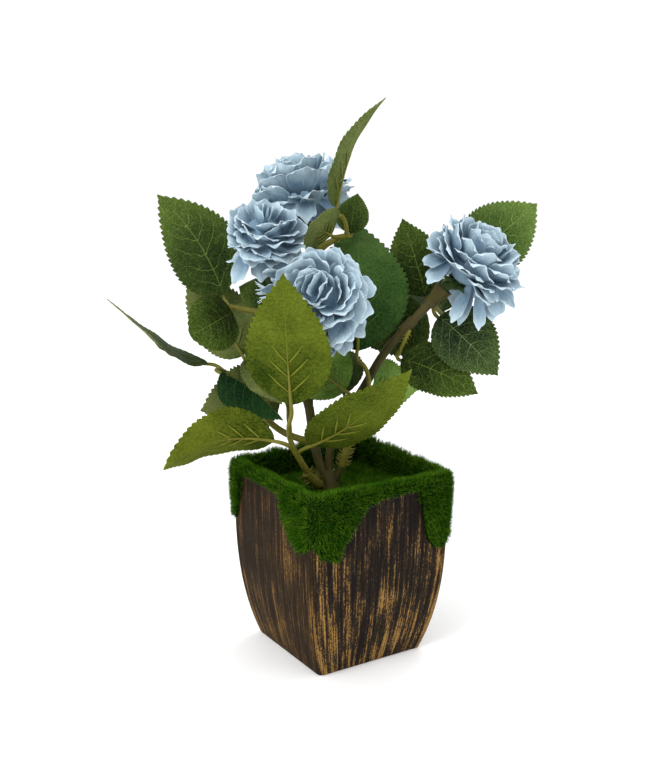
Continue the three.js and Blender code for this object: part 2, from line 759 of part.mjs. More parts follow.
// An ovate leaf with forward-pointing teeth.
function leafSolid(leaf) {
  const grid = [[bladePoint(leaf, 0, 0)]];
  const addRow = (share, forward, cut) => {
    const edge = halfWidth(leaf, share) - cut;
    grid.push([
      bladePoint(leaf, share + forward, -edge),
      bladePoint(leaf, share, 0),
      bladePoint(leaf, share + forward, edge),
    ]);
  };
  const tooth = 1 / LEAF_TEETH;
  const cut = TOOTH_DEPTH * leaf.width;
  for (let k = 0; k < LEAF_TEETH; k += 1) {
    if (k > 0) addRow(k * tooth, 0, cut);
    if (k < LEAF_TEETH - 1) addRow((k + TOOTH_PEAK) * tooth, TOOTH_LEAN * tooth, 0);
  }
  grid.push([bladePoint(leaf, 1, 0)]);
  return slab(grid, LEAF_THICK);
}

// A petiole that runs on as the middle rib under its leaf, with a short rib to each side.
function petioleSolid(spray, leaf) {
  const depth = LEAF_THICK / 2 + GAP;
  const lead = [leaf.from ?? spray.stalk[spray.stalk.length - 1], ...(leaf.via ?? [])];
  const points = [
    ...lead.map(vector),
    ...RIBS.map(({ share, radius }) => bladePoint(leaf, share, 0, depth + radius)),
  ];
  const radii = [...lead.map(() => PETIOLE), ...RIBS.map(({ radius }) => radius)];
  const sideRibs = [-1, 1].map((side) => {
    const share = SIDE_RIB + SIDE_RIB_RUN;
    const out = side * SIDE_RIB_REACH * halfWidth(leaf, share);
    const root = bladePoint(leaf, SIDE_RIB, 0, depth + SIDE_RIB_DEEP);
    const end = bladePoint(leaf, share, out, depth + SIDE_RIB_RADII[1]);
    return tube([root, end], SIDE_RIB_RADII, 3, 1);
  });
  return joined([tube(points, radii, 4, 1), ...sideRibs]);
}

// Small hooks along a sleeve, in a spiral that starts to the right.
function hookSolids(from, to, radius, count) {
  const axis = to.clone().sub(from).normalize();
  const across = new THREE.Vector3(0, 1, 0).cross(axis).normalize();
  const hooks = [];
  for (let i = 0; i < count; i += 1) {
    const out = across.clone().applyAxisAngle(axis, HOOK_TURN * i);
    const share = (i + 0.7) / (count + 0.4);
    const root = from.clone().lerp(to, share).addScaledVector(out, radius - HOOK_SUNK);
    const tip = root.clone().addScaledVector(out, HOOK_OUT).addScaledVector(axis, HOOK_ALONG);
    hooks.push(rod(root, tip, HOOK_RADII, 3));
  }
  return hooks;
}

function spraySolid(spray) {
  const [from, to] = spray.sleeve.map(vector);
  const stalk = spray.stalk.map(vector);
  const stalkRadii = stalk.map((_, i) =>
    THREE.MathUtils.lerp(...SPRAY_STALK, i / (stalk.length - 1)),
  );
  const solids = [
    rod(from, to, spray.sleeveRadii, 8),
    tube(stalk, stalkRadii, 5),
    ...hookSolids(from, to, Math.min(...spray.sleeveRadii), spray.hooks ?? 0),
    ...spray.leaves.map((leaf) => petioleSolid(spray, leaf)),
  ];
  return joined(solids).subtract(trunkSolid(GAP));
}

// Blooms

function bloomPoint(bloom, radius, angle, height) {
  const axis = vector(bloom.axis).normalize();
  const right = new THREE.Vector3(0, 1, 0).cross(axis).normalize();
  const back = axis.clone().cross(right);
  return vector(bloom.centre)
    .addScaledVector(right, radius * Math.cos(angle))
    .addScaledVector(back, radius * Math.sin(angle))
    .addScaledVector(axis, height);
}

// The two edges of a layer of petals, above and below its sheet. Petals in the next layer stand
// half a petal further round, so the outline starts at a notch in one and at a tip in the other.
function layerEdges(bloom, layer, number, spread) {
  const { size } = bloom;
  const radians = THREE.MathUtils.degToRad;
  const edges = [[], []];
  const add = (angle, petal, share, lift) => {
    const along = [Math.sin(petal.lean), Math.cos(petal.lean)];
    const short = size * layer.length * (1 - share);
    for (const [side, edge] of [[1, edges[0]], [-1, edges[1]]]) {
      const up = size * lift + (side * PETAL_THICK) / 2;
      const out = petal.reach * Math.sin(petal.polar) - short * along[0] - up * along[1];
      const height = petal.reach * Math.cos(petal.polar) - short * along[1] + up * along[0];
      edge.push(bloomPoint(bloom, out, angle, height));
    }
  };
  const even = number % 2 === 0;
  const [across, along, cup] = SHOULDER;
  const [first, second] = even ? [across, 1 - across] : [0.5 - across, 0.5 + across];
  const nominal = { polar: radians(layer.polar), lean: radians(layer.lean) };
  nominal.reach = size * BLOOM_RADIUS * layer.reach;
  const petals = [];
  for (let i = 0; i < PETALS; i += 1)
    petals.push({
      polar: radians(layer.polar + spread(POLAR_SPREAD)),
      lean: radians(layer.lean + spread(LEAN_SPREAD)),
      reach: nominal.reach + spread(REACH_SPREAD),
      lift: i % 2 ? PETAL_STAGGER : -PETAL_STAGGER,
    });
  for (let i = 0; i < PETALS; i += 1) {
    const angleAt = (place) => ((i + place) / PETALS) * 2 * Math.PI;
    const own = petals[i];
    const next = petals[(i + 1) % PETALS];
    const notch = () => add(angleAt(even ? 0 : 0.5), nominal, NOTCH[1], PETAL_CUP * NOTCH[2]);
    const tip = () => add(angleAt(even ? 0.5 : 0), own, TIP[1], own.lift);
    const shoulder = (place, petal) =>
      add(angleAt(place), petal, along, petal.lift + PETAL_CUP * cup);
    if (even) {
      notch();
      shoulder(first, own);
      tip();
      shoulder(second, own);
    } else {
      tip();
      shoulder(first, own);
      notch();
      shoulder(second, next);
    }
  }
  return edges;
}

// The heart of the bloom, at an angle from its axis.
function coreRing(bloom, degrees) {
  const polar = THREE.MathUtils.degToRad(degrees);
  const radius = bloom.size * CORE_RADIUS * Math.sin(polar);
  const height = bloom.size * (degrees > 90 ? CORE_DEEP : CORE_HIGH) * Math.cos(polar);
  if (degrees % 180 === 0) return [bloomPoint(bloom, 0, 0, height)];
  const ring = [];
  for (let i = 0; i < PETALS; i += 1)
    for (const place of [0, 0.25, 0.5, 0.75])
      ring.push(bloomPoint(bloom, radius, ((i + place) / PETALS) * 2 * Math.PI, height));
  return ring;
}

// Layer under layer of petals in one closed stack, from the crown down to the bloom's foot.
function bloomSolid(bloom) {
  const random = randomFrom(bloom.seed);
  const spread = (amount) => amount * (2 * random() - 1);
  const rings = [coreRing(bloom, 0)];
  for (const [number, layer] of PETAL_LAYERS.entries())
    rings.push(...layerEdges(bloom, layer, number, spread), coreRing(bloom, layer.root));
  rings.push(coreRing(bloom, 180));
  return stack(rings).subtract(stalkSolid(bloom, GAP));
}

// The assembly

const part = new THREE.Group();
const plant = new THREE.Group();
plant.rotation.z = PLANT_TURN;
part.add(plant);

const trunkRoom = solidOf(geometryOf(trunkSolid(GAP)).rotateZ(PLANT_TURN));
part.add(meshOf("pot", potSolid(), COLOURS.pot, 0.6));
part.add(meshOf("filler", fillerSolid().subtract(trunkRoom), COLOURS.filler, 0.9));
part.add(meshOf("moss_bed", mossBedSolid().subtract(trunkRoom), COLOURS.moss, 1));
part.add(meshOf("moss_collar", mossCollarSolid(), COLOURS.moss, 1));

plant.add(meshOf("stems", trunkSolid(), COLOURS.stem, 0.7));
for (const bloom of BLOOMS) {
  plant.add(meshOf(`stalk_${bloom.name}`, stalkSolid(bloom), COLOURS.stalk, 0.5));
  plant.add(meshOf(`bloom_${bloom.name}`, bloomSolid(bloom), COLOURS.petal, 0.85));
}
for (const spray of SPRAYS) {
  plant.add(meshOf(`spray_${spray.name}`, spraySolid(spray), COLOURS.spray, 0.55));
  for (const leaf of spray.leaves) {
    const name = `leaf_${spray.name}_${leaf.name}`;
    plant.add(meshOf(name, leafSolid(leaf), COLOURS.leaf, 0.75));
  }
}

export default part;
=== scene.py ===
# %% [markdown]
# An artificial hydrangea in a mossed, wood-look pot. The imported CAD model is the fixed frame, and
# this lesson dresses it: each piece is modelled at its real size, in metres, where the frame says,
# and gets a finish made of nodes.

# %% Load the frame
import math
import random

import bpy
import numpy as np
from mathutils import Matrix, Vector
from mathutils.bvhtree import BVHTree


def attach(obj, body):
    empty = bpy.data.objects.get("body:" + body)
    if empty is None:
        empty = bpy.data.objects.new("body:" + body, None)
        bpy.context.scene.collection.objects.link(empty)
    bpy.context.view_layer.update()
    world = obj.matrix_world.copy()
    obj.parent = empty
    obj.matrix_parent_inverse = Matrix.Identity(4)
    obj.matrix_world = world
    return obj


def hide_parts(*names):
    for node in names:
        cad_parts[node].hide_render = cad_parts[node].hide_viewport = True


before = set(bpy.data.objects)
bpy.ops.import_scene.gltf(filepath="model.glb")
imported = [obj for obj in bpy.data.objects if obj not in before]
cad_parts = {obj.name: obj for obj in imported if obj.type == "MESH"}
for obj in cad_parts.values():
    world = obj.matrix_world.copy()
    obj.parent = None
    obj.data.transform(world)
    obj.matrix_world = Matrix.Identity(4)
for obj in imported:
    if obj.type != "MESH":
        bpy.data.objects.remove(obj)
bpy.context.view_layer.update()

MM = 0.001
SAME_POINT = 0.001  # points this near are one, in millimetres

# %% [markdown]
# The plant has its own axes, turned about the vertical from the pot's: right, back and up, as the
# camera sees them. Writing its points in them keeps left and right readable.

# %% The plant's axes
PLANT_TURN = math.radians(-32)
TURN = Matrix.Rotation(PLANT_TURN, 3, "Z")


def plant_way(way):
    return TURN @ Vector(way)


def plant_point(point):
    return plant_way(point) * MM


# %% [markdown]
# Every operator acts on what is selected, and the frame's nodes start selected, so each step
# selects its own object first. A finished piece keeps its place in its mesh and rides on the one
# body.

# %% Helpers for pieces
def select_only(*objects):
    bpy.ops.object.select_all(action="DESELECT")
    for one in objects:
        one.select_set(True)
    bpy.context.view_layer.objects.active = objects[0]


def named(name):
    made = bpy.context.active_object
    made.name = name
    made.data.name = name
    return made


def settle(piece):
    select_only(piece)
    bpy.ops.object.transform_apply(location=True, rotation=True, scale=True)


def apply_modifiers(piece):
    select_only(piece)
    for modifier in list(piece.modifiers):
        bpy.ops.object.modifier_apply(modifier=modifier.name)


def select_faces(piece, wanted):
    """Leaves the piece in edit mode with only the faces selected that wanted() keeps."""
    bpy.ops.object.mode_set(mode="EDIT")
    bpy.ops.mesh.select_mode(type="FACE")
    bpy.ops.mesh.select_all(action="DESELECT")
    bpy.ops.object.mode_set(mode="OBJECT")
    for face in piece.data.polygons:
        face.select = wanted(face)
    bpy.ops.object.mode_set(mode="EDIT")


def merge_close(distance):
    """Merges points of the active mesh that are nearer than a distance in millimetres."""
    bpy.ops.object.mode_set(mode="EDIT")
    bpy.ops.mesh.select_all(action="SELECT")
    bpy.ops.mesh.remove_doubles(threshold=distance * MM)
    bpy.ops.object.mode_set(mode="OBJECT")


def joined(name, pieces):
    select_only(*pieces)
    bpy.ops.object.join()
    return named(name)


def finish_piece(piece, slot, *nodes):
    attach(piece, "root")
    if nodes:
        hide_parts(*nodes)
    print(piece.name, len(piece.data.polygons), "faces")


# %% Helpers for materials
def new_material(name):
    material = bpy.data.materials.new(name)
    material.use_nodes = True
    return material, material.node_tree.nodes["Principled BSDF"]


def add_node(material, kind, inputs=None, **settings):
    made = material.node_tree.nodes.new(kind)
    for key, value in settings.items():
        setattr(made, key, value)
    for key, value in (inputs or {}).items():
        feed(material, value, made.inputs[key])
    return made


def feed(material, value, socket):
    if isinstance(value, bpy.types.NodeSocket):
        material.node_tree.links.new(value, socket)
    else:
        socket.default_value = value


def math_node(material, operation, first, second=0.0, third=0.0):
    made = add_node(material, "ShaderNodeMath", {0: first, 1: second, 2: third}, operation=operation)
    return made.outputs[0]


def product(material, first, second):
    return math_node(material, "MULTIPLY", first, second)


def minus(material, first, second):
    return math_node(material, "SUBTRACT", first, second)


def larger(material, first, second):
    return math_node(material, "MAXIMUM", first, second)


def absolute(material, value):
    return math_node(material, "ABSOLUTE", value)


def scaled(material, value, factor, offset):
    """The value times the factor, plus the offset."""
    return math_node(material, "MULTIPLY_ADD", value, factor, offset)


def smooth_step(material, value, low, high):
    made = add_node(
        material,
        "ShaderNodeMapRange",
        {"Value": value, "From Min": low, "From Max": high},
        interpolation_type="SMOOTHSTEP",
    )
    return made.outputs[0]


def mixed(material, factor, first, second):
    made = add_node(material, "ShaderNodeMix", {0: factor, 6: first, 7: second}, data_type="RGBA")
    return made.outputs[2]


def noise(material, vector, scale, detail=2.0, rough=0.5):
    inputs = {"Vector": vector, "Scale": scale, "Detail": detail, "Roughness": rough}
    return add_node(material, "ShaderNodeTexNoise", inputs).outputs[0]


def stretched(material, vector, scale):
    return add_node(material, "ShaderNodeMapping", {"Vector": vector, "Scale": scale}).outputs[0]


def bumped(material, shader, height, distance, strength=1.0):
    inputs = {"Height": height, "Distance": distance, "Strength": strength}
    made = add_node(material, "ShaderNodeBump", inputs)
    feed(material, made.outputs[0], shader.inputs["Normal"])


def coat(material, shader, base, roughness, shine=0.5):
    """Gives a finish its colour, how rough it is and how much it shines."""
    feed(material, base, shader.inputs["Base Color"])
    shader.inputs["Roughness"].default_value = roughness
    shader.inputs["Specular IOR Level"].default_value = shine


def colour(red, green, blue):
    """A colour given as it looks on a screen, 0 to 255, as the linear values that shaders use."""
    linear = [(c / 255 / 12.92 if c < 11 else ((c / 255 + 0.055) / 1.055) ** 2.4) for c in (red, green, blue)]
    return (*linear, 1.0)


def object_coordinates(material):
    return add_node(material, "ShaderNodeTexCoord").outputs["Object"]


def parts_of(material, vector):
    """The X, Y and Z of a vector, as three values."""
    return add_node(material, "ShaderNodeSeparateXYZ", {0: vector}).outputs


def sheet_coordinates(material):
    """How far across and how far along a leaf, petal or fibre a point is, from 0 to 1."""
    uv = add_node(material, "ShaderNodeTexCoord").outputs["UV"]
    parts = parts_of(material, uv)
    return parts[0], parts[1]


# %% [markdown]
# The camera stands where the photograph was taken: the pot's corner is in front and the lens looks
# slightly down. The stage is a white floor with broad, soft lights, so that nothing but the plant
# draws the eye.

# %% Camera
CAMERA_TARGET = plant_point((-8.2, 0, 133))
CAMERA_ELEVATION = math.radians(12)
CAMERA_DISTANCE = 0.52
FOCAL_SHARE = 1060 / 774  # the focal length over the picture's long side
SENSOR = 36

camera_data = bpy.data.cameras.new("camera")
camera = bpy.data.objects.new("camera", camera_data)
bpy.context.scene.collection.objects.link(camera)
camera_data.sensor_width = SENSOR
camera_data.lens = FOCAL_SHARE * SENSOR
camera_data.clip_start = 0.02
towards_camera = plant_way((0, -math.cos(CAMERA_ELEVATION), math.sin(CAMERA_ELEVATION)))
camera.location = CAMERA_TARGET + CAMERA_DISTANCE * towards_camera
camera.rotation_euler = (-towards_camera).to_track_quat("-Z", "Y").to_euler()
bpy.context.scene.camera = camera
bpy.context.scene.view_settings.view_transform = "Standard"

# %% Lights and floor
WORLD_LIGHT = 1.08
LIGHTS = [
    {"name": "key", "from": (-0.75, -0.85, 1.15), "size": 0.7, "power": 11},
    {"name": "fill", "from": (0.95, -0.75, 0.65), "size": 0.9, "power": 2.5},
    {"name": "rim", "from": (0.4, 1.0, 0.95), "size": 0.8, "power": 4},
]

for setting in LIGHTS:
    light_data = bpy.data.lights.new(setting["name"], "AREA")
    light_data.size = setting["size"]
    light_data.energy = setting["power"]
    light = bpy.data.objects.new(setting["name"], light_data)
    bpy.context.scene.collection.objects.link(light)
    light.location = plant_way(setting["from"])
    light.rotation_euler = (CAMERA_TARGET - light.location).to_track_quat("-Z", "Y").to_euler()

world = bpy.data.worlds.new("studio")
bpy.context.scene.world = world
world.use_nodes = True
world.node_tree.nodes["Background"].inputs["Color"].default_value = (1, 1, 1, 1)
world.node_tree.nodes["Background"].inputs["Strength"].default_value = WORLD_LIGHT

FLOOR_SIZE = 20
bpy.ops.object.select_all(action="DESELECT")
bpy.ops.mesh.primitive_plane_add(size=FLOOR_SIZE)
floor = named("floor")
floor_paint, shader = new_material("floor_white")
paper_grain = noise(floor_paint, object_coordinates(floor_paint), 40)
floor_tint = mixed(floor_paint, paper_grain, colour(248, 248, 248), colour(253, 253, 253))
coat(floor_paint, shader, floor_tint, 0.9)
floor.data.materials.append(floor_paint)

# %% [markdown]
# The pot is one moulding with bulging sides, painted dark and dry-brushed with gold so that it
# looks like weathered wood. A cube with rounded edges, cut into thin slices, can be drawn in
# towards the foot by a formula, which gives the bulge without any sculpting.

# %% Model the pot
POT_HEIGHT = 90
POT_RIM = 39.5
POT_FOOT = 30
POT_UPRIGHT = 80
POT_WALL = 2.5
POT_FLOOR = 4
POT_CORNER = 3.5
POT_BULGE = 3  # the power of the curve to the foot
POT_SLICE = 3
FACING = 0.9  # a face looks a given way when its normal is this much along it


def pot_half(height):
    short = 1 - min(1, height / POT_UPRIGHT)
    return POT_RIM - (POT_RIM - POT_FOOT) * short**POT_BULGE


bpy.ops.object.select_all(action="DESELECT")
pot_size = (2 * POT_RIM * MM, 2 * POT_RIM * MM, POT_HEIGHT * MM)
bpy.ops.mesh.primitive_cube_add(size=1, location=(0, 0, POT_HEIGHT * MM / 2), scale=pot_size)
pot = named("painted_pot")
settle(pot)

bpy.ops.object.mode_set(mode="EDIT")
bpy.ops.mesh.select_mode(type="EDGE")
bpy.ops.mesh.select_all(action="DESELECT")
bpy.ops.object.mode_set(mode="OBJECT")
for edge in pot.data.edges:
    first, second = (pot.data.vertices[i].co for i in edge.vertices)
    edge.select = abs(first.z - second.z) > POT_WALL * MM
bpy.ops.object.mode_set(mode="EDIT")
bpy.ops.mesh.bevel(offset=POT_CORNER * MM, segments=6, affect="EDGES")
select_faces(pot, lambda face: face.normal.z > FACING)
bpy.ops.mesh.inset(thickness=POT_WALL * MM)
pot_depth = (0, 0, -(POT_HEIGHT - POT_FLOOR) * MM)
bpy.ops.mesh.extrude_region_move(TRANSFORM_OT_translate={"value": pot_depth})
for height in range(POT_SLICE, POT_HEIGHT, POT_SLICE):
    bpy.ops.mesh.select_all(action="SELECT")
    bpy.ops.mesh.bisect(plane_co=(0, 0, height * MM), plane_no=(0, 0, 1))
bpy.ops.object.mode_set(mode="OBJECT")
for vertex in pot.data.vertices:
    draw_in = pot_half(vertex.co.z / MM) / POT_RIM
    vertex.co.x *= draw_in
    vertex.co.y *= draw_in

rounding = pot.modifiers.new("rounding", "BEVEL")
rounding.width = 0.8 * MM
rounding.segments = 3
rounding.limit_method = "ANGLE"
rounding.angle_limit = math.radians(50)
apply_modifiers(pot)
select_only(pot)
bpy.ops.object.shade_smooth_by_angle(angle=math.radians(35))

# %% [markdown]
# Dry brushing leaves long upright streaks that break up into grain. The pattern's place across a
# side is divided by how wide the pot is at that height, so that the streaks lean in with the
# sides. Noise stretched along Z gives the streaks, a fine noise breaks them into specks, and a
# slow gradient puts more gold near the foot. Two of the sides are browner and more finely brushed.

# %% Paint the pot
GOLD_STREAK_PLACE = 0.0345  # how far left of the middle of the front side, in metres

pot_paint, shader = new_material("brushed_pot_paint")
place = object_coordinates(pot_paint)
parts = parts_of(pot_paint, place)
short = scaled(pot_paint, parts[2], -1 / (POT_UPRIGHT * MM), 1.0)
short = larger(pot_paint, short, 0.0)
curve = math_node(pot_paint, "POWER", short, POT_BULGE)
draw_in = product(pot_paint, curve, POT_FOOT / POT_RIM - 1)
spread = math_node(pot_paint, "DIVIDE", 1.0, math_node(pot_paint, "ADD", draw_in, 1.0))
across_x = product(pot_paint, parts[0], spread)
across_y = product(pot_paint, parts[1], spread)
board = add_node(pot_paint, "ShaderNodeCombineXYZ", {0: across_x, 1: across_y, 2: parts[2]}).outputs[0]
brown_side = minus(pot_paint, absolute(pot_paint, across_x), absolute(pot_paint, across_y))
brown_side = smooth_step(pot_paint, brown_side, -0.001, 0.001)
streaks = noise(pot_paint, stretched(pot_paint, board, (1, 1, 0.035)), 1150, 2, 0.6)
bands = noise(pot_paint, stretched(pot_paint, board, (1, 1, 0.1)), 230, 2, 0.6)
patches = noise(pot_paint, board, 45, 2)
grain = noise(pot_paint, stretched(pot_paint, board, (1, 1, 0.3)), 3000, 2, 0.8)
low_down = smooth_step(pot_paint, parts[2], 0.055, 0.004)
from_streak = absolute(pot_paint, math_node(pot_paint, "ADD", across_x, GOLD_STREAK_PLACE))
near_streak = smooth_step(pot_paint, from_streak, 0.004, 0.001)
front_half = smooth_step(pot_paint, parts[1], 0.0, -0.02)
front_streak = product(pot_paint, near_streak, front_half)
# How much each pattern adds to the brushing, and where on that scale brown and gold begin.
BRUSHING = [(streaks, 0.9), (patches, 0.5), (grain, 0.85), (brown_side, -0.07), (front_streak, 0.06)]
brushing = scaled(pot_paint, low_down, 0.11, product(pot_paint, bands, 0.7))
for pattern, weight in BRUSHING:
    brushing = scaled(pot_paint, pattern, weight, brushing)
gold_share = smooth_step(pot_paint, brushing, 1.615, 1.72)
worn_brown = smooth_step(pot_paint, brushing, 1.35, 1.67)
ground = mixed(pot_paint, brown_side, colour(24, 20, 19), colour(34, 26, 17))
worn = mixed(pot_paint, brown_side, colour(54, 43, 31), colour(68, 51, 31))
dark_paint = mixed(pot_paint, worn_brown, ground, worn)
gold_tint = mixed(pot_paint, brown_side, colour(148, 112, 60), colour(128, 94, 48))
coat(pot_paint, shader, mixed(pot_paint, gold_share, dark_paint, gold_tint), 0.7, 0.04)
bumped(pot_paint, shader, brushing, 0.2 * MM, 0.5)
pot.data.materials.clear()
pot.data.materials.append(pot_paint)
finish_piece(pot, "pot_paint", "pot")

# %% [markdown]
# Under the moss the pot holds a cast block. It is hidden, so the CAD solid stays and only gets a
# chalky finish.

# %% Finish the filler
filler_paint, shader = new_material("cast_filler")
place = object_coordinates(filler_paint)
chalk = noise(filler_paint, place, 300, 4)
chalky = mixed(filler_paint, chalk, colour(205, 198, 184), colour(232, 227, 216))
coat(filler_paint, shader, chalky, 0.9)
bumped(filler_paint, shader, chalk, 0.3 * MM)
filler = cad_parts["filler"]
filler.data.materials.clear()
filler.data.materials.append(filler_paint)

# %% [markdown]
# The moss is a mat of short dyed fibres on a thin backing. The backing is a copy of the frame's
# solid, and the fibres are thin four-sided spikes rooted all over it: a loop of operators would
# take hours for tens of thousands, so their points are worked out together as arrays. Each fibre
# stores how far up it a point is, so the colour can darken towards the root as painted shade deep
# in the mat.

# %% Moss fibres
FIBRE_WIDTH = 0.42
FIBRE_SUNK = 0.4
FIBRE_SPREAD = 0.33
RIM_TOP = 93
DRIP_TOP = 10  # how far below the rim the drips hang freely, in millimetres


def surface_points(mesh, count, wanted, generator):
    """Random points on the triangles that wanted() keeps, with each one's normal."""
    mesh.calc_loop_triangles()
    corners = np.array([[mesh.vertices[i].co[:] for i in t.vertices] for t in mesh.loop_triangles])
    across = np.cross(corners[:, 1] - corners[:, 0], corners[:, 2] - corners[:, 0])
    area = np.linalg.norm(across, axis=1)
    normal = across / np.maximum(area, 1e-12)[:, None]
    area = area * wanted(corners.mean(axis=1) / MM, normal)
    chosen = generator.choice(len(area), size=count, p=area / area.sum())
    first, second = generator.random((2, count, 1))
    over = (first + second) > 1
    first, second = np.where(over, 1 - first, first), np.where(over, 1 - second, second)
    at = corners[chosen]
    points = at[:, 0] + first * (at[:, 1] - at[:, 0]) + second * (at[:, 2] - at[:, 0])
    return points, normal[chosen]


def fibre_mesh(name, roots, ways, lengths, generator):
    """One mesh of thin spikes from roots along ways."""
    count = len(roots)
    ways = ways / np.linalg.norm(ways, axis=1)[:, None]
    side = np.cross(ways, generator.normal(size=(count, 3)))
    side /= np.linalg.norm(side, axis=1)[:, None]
    other = np.cross(ways, side)
    corners = []
    for turn in range(3):
        angle = 2 * math.pi * turn / 3
        ring = math.cos(angle) * side + math.sin(angle) * other
        corners.append(roots - FIBRE_SUNK * MM * ways + FIBRE_WIDTH / 2 * MM * ring)
    corners.append(roots + ways * lengths[:, None])
    vertices = np.stack(corners, axis=1).reshape(-1, 3)
    pattern = np.array([[0, 1, 3], [1, 2, 3], [2, 0, 3], [0, 2, 1]])
    faces = (pattern[None] + 4 * np.arange(count)[:, None, None]).reshape(-1, 3)
    mesh = bpy.data.meshes.new(name)
    mesh.from_pydata(vertices.tolist(), [], faces.tolist())
    layer = mesh.uv_layers.new(name="UVMap")
    shade = np.repeat(generator.random(count), 12)
    up = np.tile((pattern == 3).astype(float).reshape(-1), count)
    layer.data.foreach_set("uv", np.stack([shade, up], axis=1).reshape(-1))
    made = bpy.data.objects.new(name, mesh)
    bpy.context.scene.collection.objects.link(made)
    return made


def shaggy(points):
    """How much longer the fibres are: most on the back right rim, in uneven tufts."""
    tufts = 0.5 + 0.5 * np.sin(0.35 * points[:, 0] + 2 * np.sin(0.23 * points[:, 1]))
    back_right = np.clip((points[:, 0] + points[:, 1]) / 60, 0, 1)
    return (0.3 + 1.5 * back_right) * tufts


def moss_piece(name, node, count, wanted, way, lengths, seed, draw_up=0):
    """The backing of a moss node, copied from the frame, with fibres all over it."""
    generator = np.random.default_rng(seed)
    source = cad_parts[node]
    backing = bpy.data.objects.new(name, source.data.copy())
    bpy.context.scene.collection.objects.link(backing)
    select_only(backing)
    merge_close(SAME_POINT)
    for vertex in backing.data.vertices:
        hanging = min(1, max(0, (RIM_TOP - vertex.co.z / MM) / DRIP_TOP))
        vertex.co.z += draw_up * hanging * MM
    backing.data.materials.clear()
    while backing.data.uv_layers:
        backing.data.uv_layers.remove(backing.data.uv_layers[0])
    backing.data.uv_layers.new(name="UVMap").data.foreach_set("uv", [0.0] * 2 * len(backing.data.loops))
    roots, normals = surface_points(backing.data, count, wanted, generator)
    spread = generator.normal(size=roots.shape)
    ways = way(roots / MM, normals) + FIBRE_SPREAD * spread
    low, high = lengths
    tall = np.clip((roots[:, 2] / MM - 86) / 6, 0, 1) * shaggy(roots / MM)
    size = (low + (high - low) * generator.random(count)) * (1 + tall) * MM
    fibres = fibre_mesh(name + "_fibres", roots, ways, size, generator)
    return joined(name, [backing, fibres])


# %% The moss inside the rim and over it
DRIPS_RAISED = 2.2  # in millimetres
POT_TOUCH = 0.8
pot_walls = BVHTree.FromObject(pot, bpy.context.evaluated_depsgraph_get())


def on_bed(points, normals):
    return (normals[:, 2] > 0.3).astype(float)


def upright(points, normals):
    return np.tile([0.0, 0.0, 1.0], (len(points), 1)) + 0.2 * normals


def off_the_pot(points, normals):
    """The faces that show: all but those that lie on the pot."""
    gaps = np.array([pot_walls.find_nearest(Vector(point) * MM)[3] / MM for point in points])
    return (gaps > POT_TOUCH).astype(float)


def out_and_down(points, normals):
    """Fibres stand out from the mat, up on top of the rim and drooping on the drips."""
    below = np.clip((RIM_TOP - points[:, 2]) / 20, 0, 1)
    lift = 0.75 - 1.15 * below
    return normals + np.stack([0 * lift, 0 * lift, lift], axis=1)


moss_bed = moss_piece("moss_inside", "moss_bed", 15000, on_bed, upright, (1.8, 3.2), 5)
moss_rim = moss_piece(
    "moss_over_rim", "moss_collar", 42000, off_the_pot, out_and_down, (1.4, 2.7), 6, DRIPS_RAISED
)

# %% Dye the moss, with painted shade at the roots
moss_dye_and_shade, shader = new_material("dyed_moss_and_shade")
shade, up = sheet_coordinates(moss_dye_and_shade)
place = object_coordinates(moss_dye_and_shade)
patches = noise(moss_dye_and_shade, place, 120, 3)
fresh = mixed(moss_dye_and_shade, shade, colour(38, 80, 6), colour(104, 146, 34))
fresh = mixed(moss_dye_and_shade, smooth_step(moss_dye_and_shade, patches, 0.35, 0.65), fresh, colour(52, 96, 10))
# Near black at the root of each fibre: painted shade deep in the mat, with the dye towards the tips.
dye_and_painted_light = mixed(moss_dye_and_shade, smooth_step(moss_dye_and_shade, up, 0, 0.9), colour(8, 25, 1), fresh)
coat(moss_dye_and_shade, shader, dye_and_painted_light, 0.8, 0.04)
for piece, node in ((moss_bed, "moss_bed"), (moss_rim, "moss_collar")):
    piece.data.materials.append(moss_dye_and_shade)
    finish_piece(piece, "moss", node)

# %% [markdown]
# Stems, petioles and ribs are all round mouldings that taper along a smooth line, so one helper
# draws them: a Bezier curve through a few hand-placed points, with a thickness at each point, is
# made a mesh. It is quicker than extruding rings and always smooth.

# %% Helper for tapered mouldings
def rod_along(points, radii, rings=6, resolution=2):
    """A round rod through points in plant millimetres, radii in millimetres."""
    bpy.ops.object.select_all(action="DESELECT")
    bpy.ops.curve.primitive_bezier_curve_add()
    rod = bpy.context.active_object
    curve = rod.data
    spline = curve.splines[0]
    spline.bezier_points.add(len(points) - len(spline.bezier_points))
    for knot, point, radius in zip(spline.bezier_points, points, radii):
        knot.co = plant_point(point)
        knot.radius = radius
        knot.handle_left_type = knot.handle_right_type = "AUTO"
    curve.resolution_u = rings
    curve.bevel_depth = MM
    curve.bevel_resolution = resolution
    curve.use_fill_caps = True
    select_only(rod)
    bpy.ops.object.convert(target="MESH")
    rod = bpy.context.active_object
    merge_close(SAME_POINT)
    bpy.ops.object.shade_smooth_by_angle(angle=math.radians(60))
    return rod


def cone_between(start, end, start_radius, end_radius, sides=16):
    """A straight taper between two points in plant millimetres."""
    low, high = plant_point(start), plant_point(end)
    bpy.ops.object.select_all(action="DESELECT")
    bpy.ops.mesh.primitive_cone_add(
        vertices=sides,
        radius1=start_radius * MM,
        radius2=end_radius * MM,
        depth=(high - low).length,
        location=(low + high) / 2,
        rotation=(high - low).to_track_quat("Z", "Y").to_euler(),
    )
    cone = bpy.context.active_object
    settle(cone)
    bpy.ops.object.shade_smooth_by_angle(angle=math.radians(40))
    return cone


def between(first, second, share):
    return tuple(a + (b - a) * share for a, b in zip(first, second))


def away(first, second):
    way = Vector(second) - Vector(first)
    return way.normalized()
